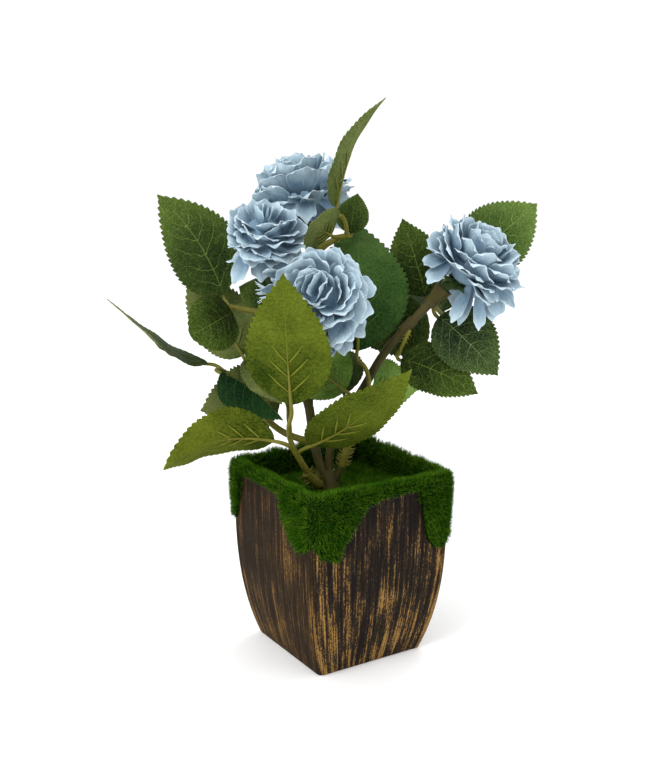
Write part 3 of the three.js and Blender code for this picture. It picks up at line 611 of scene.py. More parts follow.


# %% [markdown]
# Where the blooms, sprays and leaves are: listed points in plant millimetres, nearly all the
# same as the frame's solids are built from. A leaf runs from base to tip and its upper side faces
# the way that faces gives. Arch lifts its middle, fold its edges, sweep bows it sideways, twist
# turns it along its length, and a small fall keeps it wide nearly to its tip. A bloom's open and
# crown are in degrees: how far its petals lean out, and which way the folded pages stand. Loose
# makes it less regular, bare leaves its petals out on one side and pressed flattens one side.

# %% The plant's points
BLOOMS = [
    {"name": "top", "size": 1.09, "centre": (-18.4, 36, 221.4), "axis": (-0.25, 0.3, 0.92),
     "cup": [(-13, 17, 199), (-14.5, 22.5, 207.5)], "seed": 11, "open": 0, "crown": 60, "pages": 6},
    {"name": "left", "size": 0.86, "centre": (-36.5, -3.6, 204.3), "axis": (-0.12, -0.15, 0.98),
     "cup": [(-29.5, -0.5, 174), (-31.8, -1, 183)], "seed": 23, "open": 12, "crown": 10, "pages": 3,
     "first": 1, "faces": (0.08, -0.4, 0.9), "pressed": (-0.85, -0.35, -0.4)},
    {"name": "front", "size": 1, "centre": (-8.5, -29.2, 178.8), "axis": (-0.2, -0.85, 0.45),
     "cup": [(-14.5, -1, 161.5), (-12.5, -10, 167.5)], "seed": 37, "open": 15, "crown": -65, "pages": 5,
     "loose": 1.45},
    {"name": "right", "size": 0.98, "centre": (61, -9, 193), "axis": (0.5, -0.35, 0.79),
     "cup": [(43, -7, 175), (49.3, -8, 182.6)], "seed": 53, "open": 3, "crown": 80, "pages": 6,
     "bare": (-0.75, -0.35, -0.55), "bare_within": 0.6},
]

STEMS = [
    {"radius": 2.4, "points": [(-6, 0, 84), (-10.9, 0, 98.4), (-14.8, 3, 122)]},
    {"radius": 2.1, "points": [(-14.8, 3, 121), (-21.5, 4, 146), (-27, 1, 166), (-30, -0.6, 176)]},
    {"radius": 2.1, "points": [(-14.8, 3, 121), (-15, 8, 150), (-12, 12, 180), (-13.5, 18, 201)]},
    {"radius": 2.1, "points": [(-14.8, 7, 146), (-15.5, 3, 156), (-14, -3, 163)]},
    {"radius": 2.1, "points": [(-4.5, 0, 84), (-4.5, 0, 100), (1, -1, 116), (10.6, -2, 131),
                               (22, -4, 151), (34, -6, 165.5), (44, -7.2, 176.5)]},
    {"radius": 1.9, "points": [(-8, -3, 83), (-13, -6.8, 88.5)]},
    {"radius": 1.7, "points": [(-3, -0.5, 84), (1, -1.8, 92), (3, -2.5, 99)]},
    {"radius": 1.3, "points": [(-12, 1, 104), (-17.5, -1.3, 106.3)]},
    {"radius": 1.3, "points": [(-27.5, 0.7, 168), (-32.5, 1.9, 168.3)]},
    {"radius": 1.3, "points": [(-21.5, 4, 146), (-26.5, 3.6, 146)]},
    {"radius": 1.3, "points": [(-13, 16, 195), (-10.5, 13.5, 198), (-8, 11.7, 200.7)]},
]

SPRAYS = [
    {"name": "front", "sleeve": [(-10, -5, 85), (-16, -9, 92)], "sleeve_radii": (3, 2.5), "hooks": 7,
     "stalk": [(-15, -8, 91), (-19, -12, 99), (-22, -16, 106), (-24, -18, 112)],
     "leaves": [
         {"name": "up", "base": (-22.5, -35, 132), "tip": (-25, -60, 195), "faces": (0.1, 1, 0.35),
          "width": 40, "arch": -2, "fold": 8, "via": [(-24, -26, 120)]},
         {"name": "left", "base": (-31, -22, 112), "tip": (-81, -42, 103), "faces": (0, 0.78, 0.62),
          "width": 38, "arch": 8, "fold": 14, "fall": 0.85, "from": (-22, -16, 106)},
         {"name": "right", "base": (-14, -20, 109), "tip": (32, -42, 150), "faces": (0.05, 0.65, 0.76),
          "width": 35, "arch": -5, "fold": 5, "from": (-20.5, -14, 103)},
     ]},
    {"name": "centre", "sleeve": [(1.5, -2, 93.5), (4.5, -3, 105)], "sleeve_radii": (2.1, 1.8), "hooks": 7,
     "stalk": [(4, -3, 104), (8, -4, 113), (11.5, -6, 121)],
     "leaves": [
         {"name": "up", "base": (9, -6, 152), "tip": (11, 28, 210), "faces": (0.1, 1, -0.1),
          "width": 50, "arch": -13, "fold": 8, "via": [(13.5, -7, 130), (14, -8, 139), (11, -8, 146)]},
         {"name": "left", "base": (3, -12, 134), "tip": (-24, -13, 151), "faces": (0, 0.9, 0.4),
          "width": 34, "arch": 2, "fold": 8, "via": [(8, -9, 129)]},
         {"name": "right", "base": (16, -6, 130), "tip": (41, 26, 126), "faces": (-0.79, 0.6, 0.1),
          "width": 34, "arch": 3, "fold": 10},
         {"name": "back", "base": (3, 12, 127), "tip": (-13, 52, 141), "faces": (0, -0.3, 1),
          "width": 32, "arch": 6, "fold": 10, "via": [(9, 3, 123)]},
     ]},
    {"name": "left_low", "sleeve": [(-14.5, 0, 105), (-19, -2, 107)], "sleeve_radii": (2.2, 2),
     "stalk": [(-18, -2, 106.7), (-28, -2, 111), (-38, 1, 119), (-48, 5, 131), (-57, 5, 140)],
     "leaves": [
         {"name": "far", "base": (-65, 6, 144), "tip": (-111, -5, 177), "faces": (0.55, 0, 0.83),
          "width": 32, "arch": -5, "fold": 5, "curl": -1.5, "twist": 14},
         {"name": "dark", "base": (-57, -6, 142), "tip": (-27, -16, 120), "faces": (0.5, -0.3, 0.8),
          "width": 31, "arch": 2, "fold": -30},
         {"name": "back", "base": (-30, 14, 124), "tip": (-70, 13, 118), "faces": (0.1, 0.9, 0.35),
          "width": 42, "arch": 2, "fold": 8, "from": (-24, -2, 109), "via": [(-25, 6, 114)]},
     ]},
    {"name": "left_high", "sleeve": [(-30, 1, 168), (-34, 2.5, 168.5)], "sleeve_radii": (2.2, 2),
     "stalk": [(-33, 2, 168.4), (-42, 4, 170), (-54, 5, 172)],
     "leaves": [
         {"name": "up", "base": (-57, 10.5, 177.5), "tip": (-89, 17, 225.5), "faces": (-0.1, -0.95, 0.2),
          "width": 37, "arch": 1, "fold": -6, "sweep": -4},
         {"name": "round", "base": (-52, 0, 170), "tip": (-70, -19, 161.5), "faces": (0.58, -0.73, 0.34),
          "width": 28, "arch": 4, "fold": 6, "fall": 0.5},
         {"name": "inner", "base": (-31, 12, 173), "tip": (-50, 19, 180), "faces": (0, -0.9, 0.4),
          "width": 18, "arch": 2, "fold": 8, "from": (-34, 2.3, 168.6), "via": [(-29, 8, 171)]},
     ]},
    {"name": "left_mid", "sleeve": [(-23.5, 4, 146), (-28, 3.5, 146)], "sleeve_radii": (2.2, 2),
     "stalk": [(-27, 3.6, 146), (-34, 3, 146), (-41, 2, 147)],
     "leaves": [
         {"name": "pale", "base": (-47.5, 11, 147), "tip": (-76, 22, 182), "faces": (0.1, 0.95, 0.2),
          "width": 35, "arch": 3, "fold": 8, "fall": 0.8},
         {"name": "down", "base": (-44, -1, 149), "tip": (-28, -8, 126), "faces": (0.3, -0.8, 0.5),
          "width": 24, "arch": 3, "fold": 8},
         {"name": "back", "base": (-34, 12, 150), "tip": (-20, 52, 163), "faces": (0, -0.3, 1),
          "width": 36, "arch": 6, "fold": 10, "from": (-34, 3, 146)},
     ]},
    {"name": "top", "sleeve": [(-10, 12, 199), (-6.5, 11.5, 202)], "sleeve_radii": (2.1, 1.9),
     "stalk": [(-7, 11.5, 201.5), (-2, 11, 204), (3, 10.5, 206)],
     "leaves": [
         {"name": "tall", "base": (-2, 4, 220), "tip": (21, -4, 270), "faces": (-1, 0.1, 0.35),
          "width": 25, "arch": 4, "fold": 29, "via": [(3.5, 9, 208.5), (1.5, 7.5, 215)]},
         {"name": "bent", "base": (-4, 6, 206.5), "tip": (-14, -15, 213), "faces": (-0.7, 0.49, 0.52),
          "width": 25, "arch": 0, "fold": 6},
         {"name": "behind", "base": (5.5, 11.5, 207), "tip": (9, 15.5, 226), "faces": (-0.2, -0.85, 0.45),
          "width": 17, "arch": 2, "fold": 6},
     ]},
    {"name": "right_high", "sleeve": [(42.6, -7, 174.4), (44.6, -7.4, 176.6)], "sleeve_radii": (2.7, 3),
     "stalk": [(44, -4.4, 174.6), (45, -2, 174)],
     "leaves": [
         {"name": "up", "base": (43, 14, 176), "tip": (31.5, 24, 213.5), "faces": (0, -0.95, 0.3),
          "width": 29, "arch": 2, "fold": -6},
         {"name": "far", "base": (65, 20, 192), "tip": (97.5, 20, 221), "faces": (-0.1, -0.9, 0.3),
          "width": 36, "arch": 3, "fold": 8, "via": [(51, 13, 178), (58, 19, 185)]},
         {"name": "down", "base": (48, -1.5, 168), "tip": (76, -10, 140.7), "faces": (0.1, -0.85, 0.4),
          "width": 34, "arch": 3, "fold": 8},
         {"name": "behind", "base": (42, 6, 170.5), "tip": (16, 13, 150), "faces": (0, -0.9, 0.45),
          "width": 34, "arch": 2, "fold": 8},
         {"name": "back", "base": (52, 14, 168.5), "tip": (38, 56, 174.5), "faces": (0, -0.3, 1),
          "width": 34, "arch": 6, "fold": 10},
     ]},
    {"name": "right_low", "sleeve": [(30, -5.3, 161.4), (35.5, -6, 167.2)], "sleeve_radii": (2.6, 2.6),
     "stalk": [(33.5, -7, 162.5), (31, -7.5, 157), (29, -7, 152.5)], "thick": 1.05,
     "hooks": 3, "hook_line": [(33, -7, 161), (30.5, -7.5, 156)],
     "leaves": [
         {"name": "side", "base": (30, -7, 148.4), "tip": (66, -15, 132.7), "faces": (-0.2, -0.75, 0.6),
          "width": 28, "arch": 4, "fold": 10},
     ]},
]

# %% [markdown]
# The stems are one branching moulding, brown and faintly ridged, with a knot where they meet and a
# cup at each end. A cup starts as a cone with an open mouth: its end face is inset for the lip and
# pushed in for the bore that the flower plugs into.

# %% Model the stems and cups
KNOT = [(-5, 0, 74), (-5, 0, 79), (-5, 0, 82), (-5, 0, 86), (-5, 0, 91)]
KNOT_RADII = [3.2, 4.2, 5.0, 4.4, 3.0]
CUP_MOUTH = 4.7
CUP_LIP = 0.9
CUP_BORE_DEPTH = 6
CUP_FOOT = 2.2
CUP_BORE_TAPER = 0.7


def cup_solid(foot, mouth):
    cup = cone_between(foot, mouth, CUP_FOOT, CUP_MOUTH, 24)
    axis = plant_way(away(foot, mouth))
    select_faces(cup, lambda face: face.normal.dot(axis) > FACING)
    bpy.ops.mesh.inset(thickness=CUP_LIP * MM)
    bpy.ops.mesh.extrude_region_move(TRANSFORM_OT_translate={"value": -CUP_BORE_DEPTH * MM * axis})
    bpy.ops.transform.resize(value=(CUP_BORE_TAPER,) * 3)
    bpy.ops.object.mode_set(mode="OBJECT")
    return cup


stem_pieces = [rod_along(KNOT, KNOT_RADII, 8, 4)]
for stem in STEMS:
    stem_pieces.append(rod_along(stem["points"], [stem["radius"]] * len(stem["points"]), 8, 3))
for bloom in BLOOMS:
    stem_pieces.append(cup_solid(*bloom["cup"]))
stems = joined("brown_stems", stem_pieces)

# %% Finish the stems
stem_finish, shader = new_material("moulded_stem")
place = object_coordinates(stem_finish)
ridges = noise(stem_finish, stretched(stem_finish, place, (1, 1, 0.25)), 1400, 3)
mottle = noise(stem_finish, place, 140, 4)
high_up = parts_of(stem_finish, place)[2]
tan_share = smooth_step(stem_finish, high_up, 0.15, 0.172)
brown = mixed(stem_finish, mottle, colour(34, 34, 11), colour(76, 71, 32))
tan = mixed(stem_finish, mottle, colour(42, 39, 16), colour(86, 78, 40))
coat(stem_finish, shader, mixed(stem_finish, tan_share, brown, tan), 0.6, 0.15)
bumped(stem_finish, shader, ridges, 0.3 * MM, 0.7)
stems.data.materials.clear()
stems.data.materials.append(stem_finish)
finish_piece(stems, "stem", "stems")

# %% [markdown]
# A leaf is a cut and pressed piece of printed cloth. Both the leaf and the plastic rib under it
# need the same surface, so one function gives the point at any place on a blade.

# %% The surface of a blade
LEAF_THICK = 0.4
LEAF_TEETH = 22
TOOTH_DEPTH = 1.1
LEAF_RISE = 0.6  # powers of the outline's curve from base to widest, and on to the tip
LEAF_FALL = 1
TIP_DRAWN_IN = 0.25  # the last part of a leaf narrows to a point
TIP_LENGTH = 0.08


def half_width(leaf, share):
    fall = leaf.get("fall", LEAF_FALL)
    peak = LEAF_RISE / (LEAF_RISE + fall)
    share = min(1, max(0, share))
    shape = share**LEAF_RISE * (1 - share) ** fall
    point = 1 - TIP_DRAWN_IN * math.exp(-((1 - share) / TIP_LENGTH) ** 2)
    return 0.5 * leaf["width"] * point * shape / (peak**LEAF_RISE * (1 - peak) ** fall)


def blade_point(blade, share, distance, depth=0.0):
    """The point at a share of the length, a distance from the midrib, a depth below the surface."""
    base = Vector(blade["base"])
    along = Vector(blade["tip"]) - base
    length = along.length
    along.normalize()
    up = Vector(blade["faces"])
    up = (up - along * up.dot(along)).normalized()
    up.rotate(Matrix.Rotation(math.radians(blade.get("twist", 0)) * share, 3, along))
    side = up.cross(along)
    turn = 2 * math.pi * share
    curl = blade.get("curl", 0)
    lift = 4 * blade["arch"] * share * (1 - share) + curl * math.sin(turn)
    climb = 4 * blade["arch"] * (1 - 2 * share) + 2 * math.pi * curl * math.cos(turn)
    out = (up - along * climb / length).normalized()
    point = base + along * length * share + up * lift
    point += side * 4 * blade.get("sweep", 0) * share * (1 - share)
    fold = 0 if distance == 0 else math.radians(blade["fold"])
    away_from_rib = side if distance >= 0 else -side
    point += away_from_rib * (abs(distance) * math.cos(fold) + depth * math.sin(fold))
    return point + out * (abs(distance) * math.sin(fold) - depth * math.cos(fold))


# %% [markdown]
# The blade starts as a flat grid. Each row of the grid becomes a line across the leaf, its ends
# step in and out to cut the teeth, and small waves keep it from looking stamped. Solidify then
# gives it the thickness of cloth, with the underside in the second material.

# %% Model a leaf
COLUMNS = 12
# The rows of one tooth, from its notch: how much is cut away, and how far the edge leans on.
TOOTH_ROWS = [(1, 0), (0.55, 0), (0.2, 0.06), (0, 0.2)]
FULL_TEETH = 5  # the half width from which teeth have their full size
USUAL_WIDTH = 34


def leaf_blade(name, leaf, seed):
    generator = random.Random(seed)
    steps = len(TOOTH_ROWS)
    rows = LEAF_TEETH * steps
    bpy.ops.object.select_all(action="DESELECT")
    bpy.ops.mesh.primitive_grid_add(x_subdivisions=COLUMNS, y_subdivisions=rows, size=2)
    blade = named(name)
    phase = [generator.uniform(0, 2 * math.pi) for _ in range(6)]
    depth_of_teeth = TOOTH_DEPTH * leaf["width"] / USUAL_WIDTH
    for vertex in blade.data.vertices:
        across, share = vertex.co.x, (vertex.co.y + 1) / 2
        row = round(share * rows)
        cut, lean = TOOTH_ROWS[row % steps] if 0 < row < rows else (0, 0)
        half = half_width(leaf, share)
        small = min(1, half / FULL_TEETH)
        edge = abs(across) ** 3
        distance = -across * (half - cut * depth_of_teeth * small * edge)
        left, right = phase[:3], phase[3:]
        shift = left if across > 0 else right
        wave = 0.55 * math.sin(9 * share + shift[0]) + 0.3 * math.sin(21 * share + shift[1])
        dimple = 0.2 * math.cos(math.pi * across) * math.sin(6 * math.pi * (share - 0.35 * abs(across)))
        depth = (wave * across**2 + dimple * (1 - abs(across))) * min(1, half / 10)
        share = min(1.0, share + lean * small * edge / LEAF_TEETH)
        vertex.co = plant_point(blade_point(leaf, share, distance, depth))
    merge_close(10 * SAME_POINT)
    cloth = blade.modifiers.new("cloth", "SOLIDIFY")
    cloth.thickness = LEAF_THICK * MM
    cloth.offset = 0
    cloth.material_offset = 1
    cloth.material_offset_rim = 1
    return blade


# %% [markdown]
# The upper side is printed: dark green with a yellow-green midrib, side veins that curve towards
# the tip, and a fine net between them. It is lighter towards the tip and edge, partly the print and
# partly painted shade at the base, and the midrib fades into painted shade towards the base. The
# veins are drawn from the leaf's own across and along coordinates, so they follow every bend. The
# underside is the bare woven cloth, yellow-green, with the veins only faintly pressed through; it is
# darker towards the base as painted shade. Lighter and darker copies of both sides are painted light
# and shade for leaves that stand in more or less light.

# %% Print the leaves, with painted light and shade
VEIN_PAIRS = 7
NET_CELLS = 950.0  # cells of the net and of the branches in a metre
BRANCH_CELLS = 420.0
VEIN_DRIFT = 0.006  # how far the branches wander, in metres


def cell_edges(material, vector, scale):
    """How far a point is from the nearest edge between two cells."""
    inputs = {"Vector": vector, "Scale": scale}
    return add_node(material, "ShaderNodeTexVoronoi", inputs, feature="DISTANCE_TO_EDGE").outputs[0]


def vector_node(material, operation, first, second, third=(0, 0, 0)):
    inputs = {0: first, 1: second, 2: third}
    return add_node(material, "ShaderNodeVectorMath", inputs, operation=operation).outputs[0]


def vein_lines(material):
    """Places on the leaf, and the midrib, the side veins and the net as masks from 0 to 1."""
    across, along = sheet_coordinates(material)
    from_rib = absolute(material, scaled(material, across, 2.0, -1.0))
    rib_width = scaled(material, along, -0.018, 0.028)
    midrib = minus(material, 1.0, math_node(material, "DIVIDE", from_rib, rib_width))
    midrib = smooth_step(material, midrib, 0.0, 0.6)
    bend = math_node(material, "POWER", from_rib, 1.35)
    place = object_coordinates(material)
    wander = scaled(material, noise(material, place, 200, 3), 0.09, -0.045)
    family = scaled(material, bend, -0.3, math_node(material, "ADD", along, wander))
    family = product(material, family, float(VEIN_PAIRS))
    near = absolute(material, minus(material, math_node(material, "FRACT", family), 0.5))
    thin = scaled(material, from_rib, -0.02, 0.036)
    side = minus(material, 1.0, math_node(material, "DIVIDE", near, thin))
    side = smooth_step(material, side, 0.0, 0.8)
    cells = cell_edges(material, place, NET_CELLS)
    net = smooth_step(material, cells, 0.13, 0.02)
    drift_inputs = {"Vector": place, "Scale": 260.0, "Detail": 2.0}
    drift = add_node(material, "ShaderNodeTexNoise", drift_inputs).outputs[1]
    drift = vector_node(material, "SUBTRACT", drift, (0.5, 0.5, 0.5))
    drifted = vector_node(material, "MULTIPLY_ADD", drift, (VEIN_DRIFT,) * 3, place)
    coarse = cell_edges(material, drifted, BRANCH_CELLS)
    branches = product(material, smooth_step(material, coarse, 0.07, 0.01), noise(material, place, 300, 2))
    return from_rib, along, midrib, side, net, branches


def leaf_print_and_shade(name, dark, light, vein):
    material, shader = new_material(name)
    from_rib, along, midrib, side, net, branches = vein_lines(material)
    place = object_coordinates(material)
    # Lighter towards the tip and edge: partly the print, partly painted shade at the base.
    to_tip = smooth_step(material, along, 0.3, 1.0)
    to_edge = smooth_step(material, from_rib, 0.35, 1.0)
    blotches = noise(material, place, 90, 3)
    paleness = scaled(material, to_tip, 0.5, product(material, to_edge, 0.2))
    speckle = noise(material, place, 1500, 3, 0.7)
    net_share = scaled(material, paleness, 1.0, 0.2)
    net_share = product(material, net, product(material, net_share, speckle))
    paleness = scaled(material, speckle, 0.5, minus(material, paleness, 0.55))
    paleness = scaled(material, blotches, 0.7, paleness)
    ground = mixed(material, paleness, dark, light)
    ground = mixed(material, net_share, ground, vein)
    ground = mixed(material, product(material, branches, product(material, speckle, 0.7)), ground, vein)
    ground = mixed(material, product(material, side, 0.75), ground, vein)
    # The midrib fades darker towards the base: painted shade.
    rib_share_painted_shade = scaled(material, along, 0.4, 0.35)
    ground = mixed(material, product(material, midrib, rib_share_painted_shade), ground, vein)
    coat(material, shader, ground, 0.6, 0.05)
    pressed = larger(material, midrib, side)
    weave = noise(material, place, 2600, 1)
    height = scaled(material, weave, 0.5, product(material, pressed, -1.0))
    height = scaled(material, net, -0.4, height)
    bumped(material, shader, height, 0.3 * MM, 0.8)
    return material


# The plain print, then lighter and darker copies of it with small tint differences: painted light and shade
# for leaves that stand in more or less light.
leaf_upper = leaf_print_and_shade("leaf_upper", colour(18, 38, 10), colour(76, 98, 36), colour(122, 140, 68))
leaf_upper_painted_shade = leaf_print_and_shade("leaf_upper_painted_shade", colour(9, 26, 5), colour(57, 79, 22), colour(118, 138, 60))
leaf_upper_painted_shade_cool = leaf_print_and_shade("leaf_upper_painted_shade_cool", colour(12, 28, 14), colour(58, 80, 32), colour(122, 142, 86))
leaf_upper_painted_lit = leaf_print_and_shade(
    "leaf_upper_painted_lit", colour(36, 62, 20), colour(98, 124, 54), colour(146, 166, 88)
)
leaf_upper_painted_deep_shade = leaf_print_and_shade("leaf_upper_painted_deep_shade", colour(6, 30, 12), colour(28, 64, 28), colour(66, 102, 50))

# %% Weave the undersides, with painted light and shade
def leaf_underside(name, deep, pale):
    material, shader = new_material(name)
    from_rib, along, midrib, side, net, branches = vein_lines(material)
    place = object_coordinates(material)
    threads = noise(material, stretched(material, place, (1, 1, 0.4)), 1500, 2)
    cross = noise(material, stretched(material, place, (0.4, 0.4, 1)), 1500, 2)
    weave = scaled(material, threads, 0.5, product(material, cross, 0.5))
    blotches = noise(material, place, 50, 2)
    tone_and_painted_shade = scaled(material, weave, 1.5, scaled(material, blotches, 1.1, -1.15))
    # Darker towards the base: painted shade.
    tone_and_painted_shade = scaled(material, along, 0.5, tone_and_painted_shade)
    ground = mixed(material, tone_and_painted_shade, deep, pale)
    pressed = larger(material, product(material, side, 0.25), product(material, midrib, 0.5))
    ground = mixed(material, pressed, ground, pale)
    coat(material, shader, ground, 0.8, 0.05)
    height = scaled(material, weave, 1.0, product(material, side, 0.6))
    bumped(material, shader, height, 0.25 * MM, 0.7)
    return material


# Lit and shaded copies of the one underside cloth, with small tint differences: painted light and shade. The
# pale one is the plain cloth.
under_painted_lit = leaf_underside("underside_painted_lit", colour(36, 52, 4), colour(106, 119, 34))
under_painted_lit_warm = leaf_underside("underside_painted_lit_warm", colour(46, 60, 6), colour(122, 132, 40))
under_painted_shade_green = leaf_underside("underside_painted_shade_green", colour(22, 50, 16), colour(78, 104, 50))
under_pale = leaf_underside("underside_pale", colour(58, 72, 28), colour(124, 134, 78))
under_painted_lit_green = leaf_underside("underside_painted_lit_green", colour(62, 94, 30), colour(138, 166, 82))

# The leaves whose underside takes a painted lit or shaded copy.
UNDERSIDES = {
    "front_up": under_painted_lit, "front_left": under_painted_lit_warm, "front_right": under_painted_lit,
    "centre_up": under_painted_shade_green, "centre_left": under_painted_lit_green, "centre_right": under_painted_lit_green,
}
# The leaves whose upper side takes a painted lit or shaded copy of the print.
UPPERS = {
    "left_low_dark": leaf_upper_painted_deep_shade, "left_mid_down": under_pale,
    "left_high_round": leaf_upper_painted_shade, "right_high_up": leaf_upper_painted_shade,
    "right_high_down": leaf_upper_painted_shade_cool, "right_low_side": leaf_upper_painted_shade,
    "right_high_far": leaf_upper_painted_lit,
}

# %% Make every leaf
leaves = []
for number, spray in enumerate(SPRAYS):
    for turn, leaf in enumerate(spray["leaves"]):
        key = f"{spray['name']}_{leaf['name']}"
        blade = leaf_blade("cloth_" + key, leaf, 100 * number + turn)
        blade.data.materials.append(UPPERS.get(key, leaf_upper))
        blade.data.materials.append(UNDERSIDES.get(key, under_pale))
        apply_modifiers(blade)
        bpy.ops.object.shade_smooth_by_angle(angle=math.radians(50))
        finish_piece(blade, "leaf_cloth", "leaf_" + key)
        leaves.append(blade)

# %% [markdown]
# Each spray is one plastic moulding: a sleeve that is pushed over a stub, a stalk, a petiole to
# each leaf that runs on as its midrib, and short side ribs that hold the cloth. Two sleeves carry
# small hooks.

# %% Finish the sprays
spray_finish, shader = new_material("amber_moulding")
place = object_coordinates(spray_finish)
mottle = noise(spray_finish, place, 150, 3)
olive = mixed(spray_finish, mottle, colour(84, 85, 20), colour(124, 120, 42))
low_down = smooth_step(spray_finish, parts_of(spray_finish, place)[2], 0.115, 0.085)
amber = mixed(spray_finish, mottle, colour(46, 50, 7), colour(94, 90, 22))
coat(spray_finish, shader, mixed(spray_finish, low_down, olive, amber), 0.5, 0.2)
shader.inputs["Subsurface Weight"].default_value = 0.15
shader.inputs["Subsurface Radius"].default_value = (0.002, 0.0015, 0.0005)
bumped(spray_finish, shader, noise(spray_finish, place, 900, 2), 0.1 * MM, 0.5)


def rib_finish(name, deep, pale):
    material, shader = new_material(name)
    mottle = noise(material, object_coordinates(material), 300, 3)
    coat(material, shader, mixed(material, mottle, deep, pale), 0.7, 0.05)
    return material


# Each rib takes its leaf's underside colour, painted lit and shaded copies too.
RIBS_UNDER = {
    under_painted_lit: rib_finish("rib_painted_lit", colour(94, 102, 24), colour(120, 125, 46)),
    under_painted_lit_warm: rib_finish("rib_painted_lit_warm", colour(100, 106, 28), colour(130, 132, 54)),
    under_painted_shade_green: rib_finish("rib_painted_shade_green", colour(42, 74, 30), colour(76, 104, 50)),
    under_painted_lit_green: rib_finish("rib_painted_lit_green", colour(74, 96, 34), colour(112, 130, 60)),
    under_pale: rib_finish("rib_pale", colour(84, 92, 40), colour(118, 124, 66)),
}

# %% Model the sprays
PETIOLE = 1.15
RIBS = [(-0.06, 1.0), (0.05, 0.8), (0.16, 0.62), (0.26, 0.46), (0.36, 0.32), (0.46, 0.15)]
SIDE_RIBS = [(0.12, 0.25, 0.5), (0.25, 0.38, 0.45), (0.36, 0.48, 0.35)]
SIDE_RIB_RADIUS = 0.46
HOOK_TURN = 2.4
HOOK = 2.7
SMALL_HOOK = 1.6
HOOK_RADII = (0.26, 0.18, 0.04)  # shares of its reach, from root to tip
STALK_RADIUS = 1.75
STALK_TAPER = 0.26
BROWN_SLEEVES = ("right_high", "right_low")


def petiole_pieces(spray, leaf):
    depth = LEAF_THICK / 2
    rib_material = RIBS_UNDER[UNDERSIDES.get(f"{spray['name']}_{leaf['name']}", under_pale)]
    lead = [leaf.get("from", spray["stalk"][-1]), *leaf.get("via", [])]
    points = lead + [blade_point(leaf, share, 0, depth + 0.75 * radius) for share, radius in RIBS]
    radii = [PETIOLE] * len(lead) + [radius for _, radius in RIBS]
    pieces = [rod_along(points, radii, 5, 2)]
    pieces[0].data.materials.append(spray_finish)
    for start, end, reach in SIDE_RIBS:
        for side in (-1, 1):
            edge = side * reach * half_width(leaf, end)
            rib = [
                blade_point(leaf, start, edge * 0.08, depth + 0.3),
                blade_point(leaf, (start + end) / 2, edge * 0.55, depth + SIDE_RIB_RADIUS),
                blade_point(leaf, end, edge, depth + 0.15),
            ]
            pieces.append(rod_along(rib, [0.3, SIDE_RIB_RADIUS, 0.15], 3, 1))
            pieces[-1].data.materials.append(rib_material)
    return pieces


def hook_pieces(start, end, radius, count, reach):
    axis = away(start, end)
    across = Vector((0, 1, 0)).cross(axis).normalized()
    hooks = []
    for i in range(count):
        out = across if i % 2 else -across
        out = out + Vector((0, -0.5 * math.sin(HOOK_TURN * i), 0))
        root = Vector(between(start, end, (i + 0.5) / count)) + out * (radius - 0.6)
        tip = root + (out + axis * 0.55) * reach
        bend = root + (out * 0.55 + axis * 0.1) * reach
        hooks.append(rod_along([root, bend, tip], [share * reach for share in HOOK_RADII], 3, 1))
    return hooks


def spray_piece(spray):
    start, end = spray["sleeve"]
    first, last = spray["sleeve_radii"]
    middle = between(start, end, 0.5)
    pieces = [rod_along([start, middle, end], [first, (first + last) / 2, last], 6, 4)]

    stalk = spray["stalk"]
    thick = spray.get("thick", STALK_RADIUS)
    radii = [thick * (1 - STALK_TAPER * i / (len(stalk) - 1)) for i in range(len(stalk))]
    pieces.append(rod_along(stalk, radii, 6, 3))
    hooked = spray.get("hook_line", [start, end])
    hook_out = thick if "hook_line" in spray else last
    hook_reach = SMALL_HOOK if "hook_line" in spray else HOOK
    pieces += hook_pieces(*hooked, hook_out, 2 * spray.get("hooks", 0), hook_reach)
    for leaf in spray["leaves"]:
        pieces += petiole_pieces(spray, leaf)
    for piece in pieces:
        if not piece.data.materials:
            piece.data.materials.append(spray_finish)
    if spray["name"] in BROWN_SLEEVES:
        pieces[0].data.materials[0] = stem_finish
    return joined("spray_moulding_" + spray["name"], pieces)


for spray in SPRAYS:
    moulding = spray_piece(spray)
    finish_piece(moulding, "spray", "spray_" + spray["name"])

# %% [markdown]
# A bloom is made of spoon-shaped cloth petals in layers round a green stalk: short upright ones at
# the crown, wide ones that lean out round the middle, and long ones that hang as a skirt. One
# petal is shaped from a grid, a few forms of it are kept, and copies are turned into place.

# %% Model the petals
PETAL_THICK = 0.24
PETAL_COLUMNS = 14
PETAL_ROWS = 12
BLOOM_RADIUS = 25
PETAL_WIDEST = 0.62
PETAL_ROOT_WIDTH = 0.3
PETAL_TIP_SPAN = 0.43  # a little longer than the tip, so that it ends wide
PETAL_TIP_POWER = 3.3  # the higher, the rounder and fuller the tip
CREASE = 3.2  # from one lengthwise crease in the cloth to the next
CREASE_DEPTH = 0.17
CRUMPLE_SPANS = [(-0.6, 0.6), (0.3, 0.9), (0, 6)]  # waves across, waves along, and their start
CRUMPLE_DEPTH = 0.22


def petal_outline(share):
    """Half the width at a share of the length, as a part of the widest."""
    opening = math.sin(min(1, share / PETAL_WIDEST) * math.pi / 2)
    closing = max(0, share - PETAL_WIDEST) / PETAL_TIP_SPAN
    return (PETAL_ROOT_WIDTH + (1 - PETAL_ROOT_WIDTH) * opening) * math.sqrt(1 - closing**PETAL_TIP_POWER)


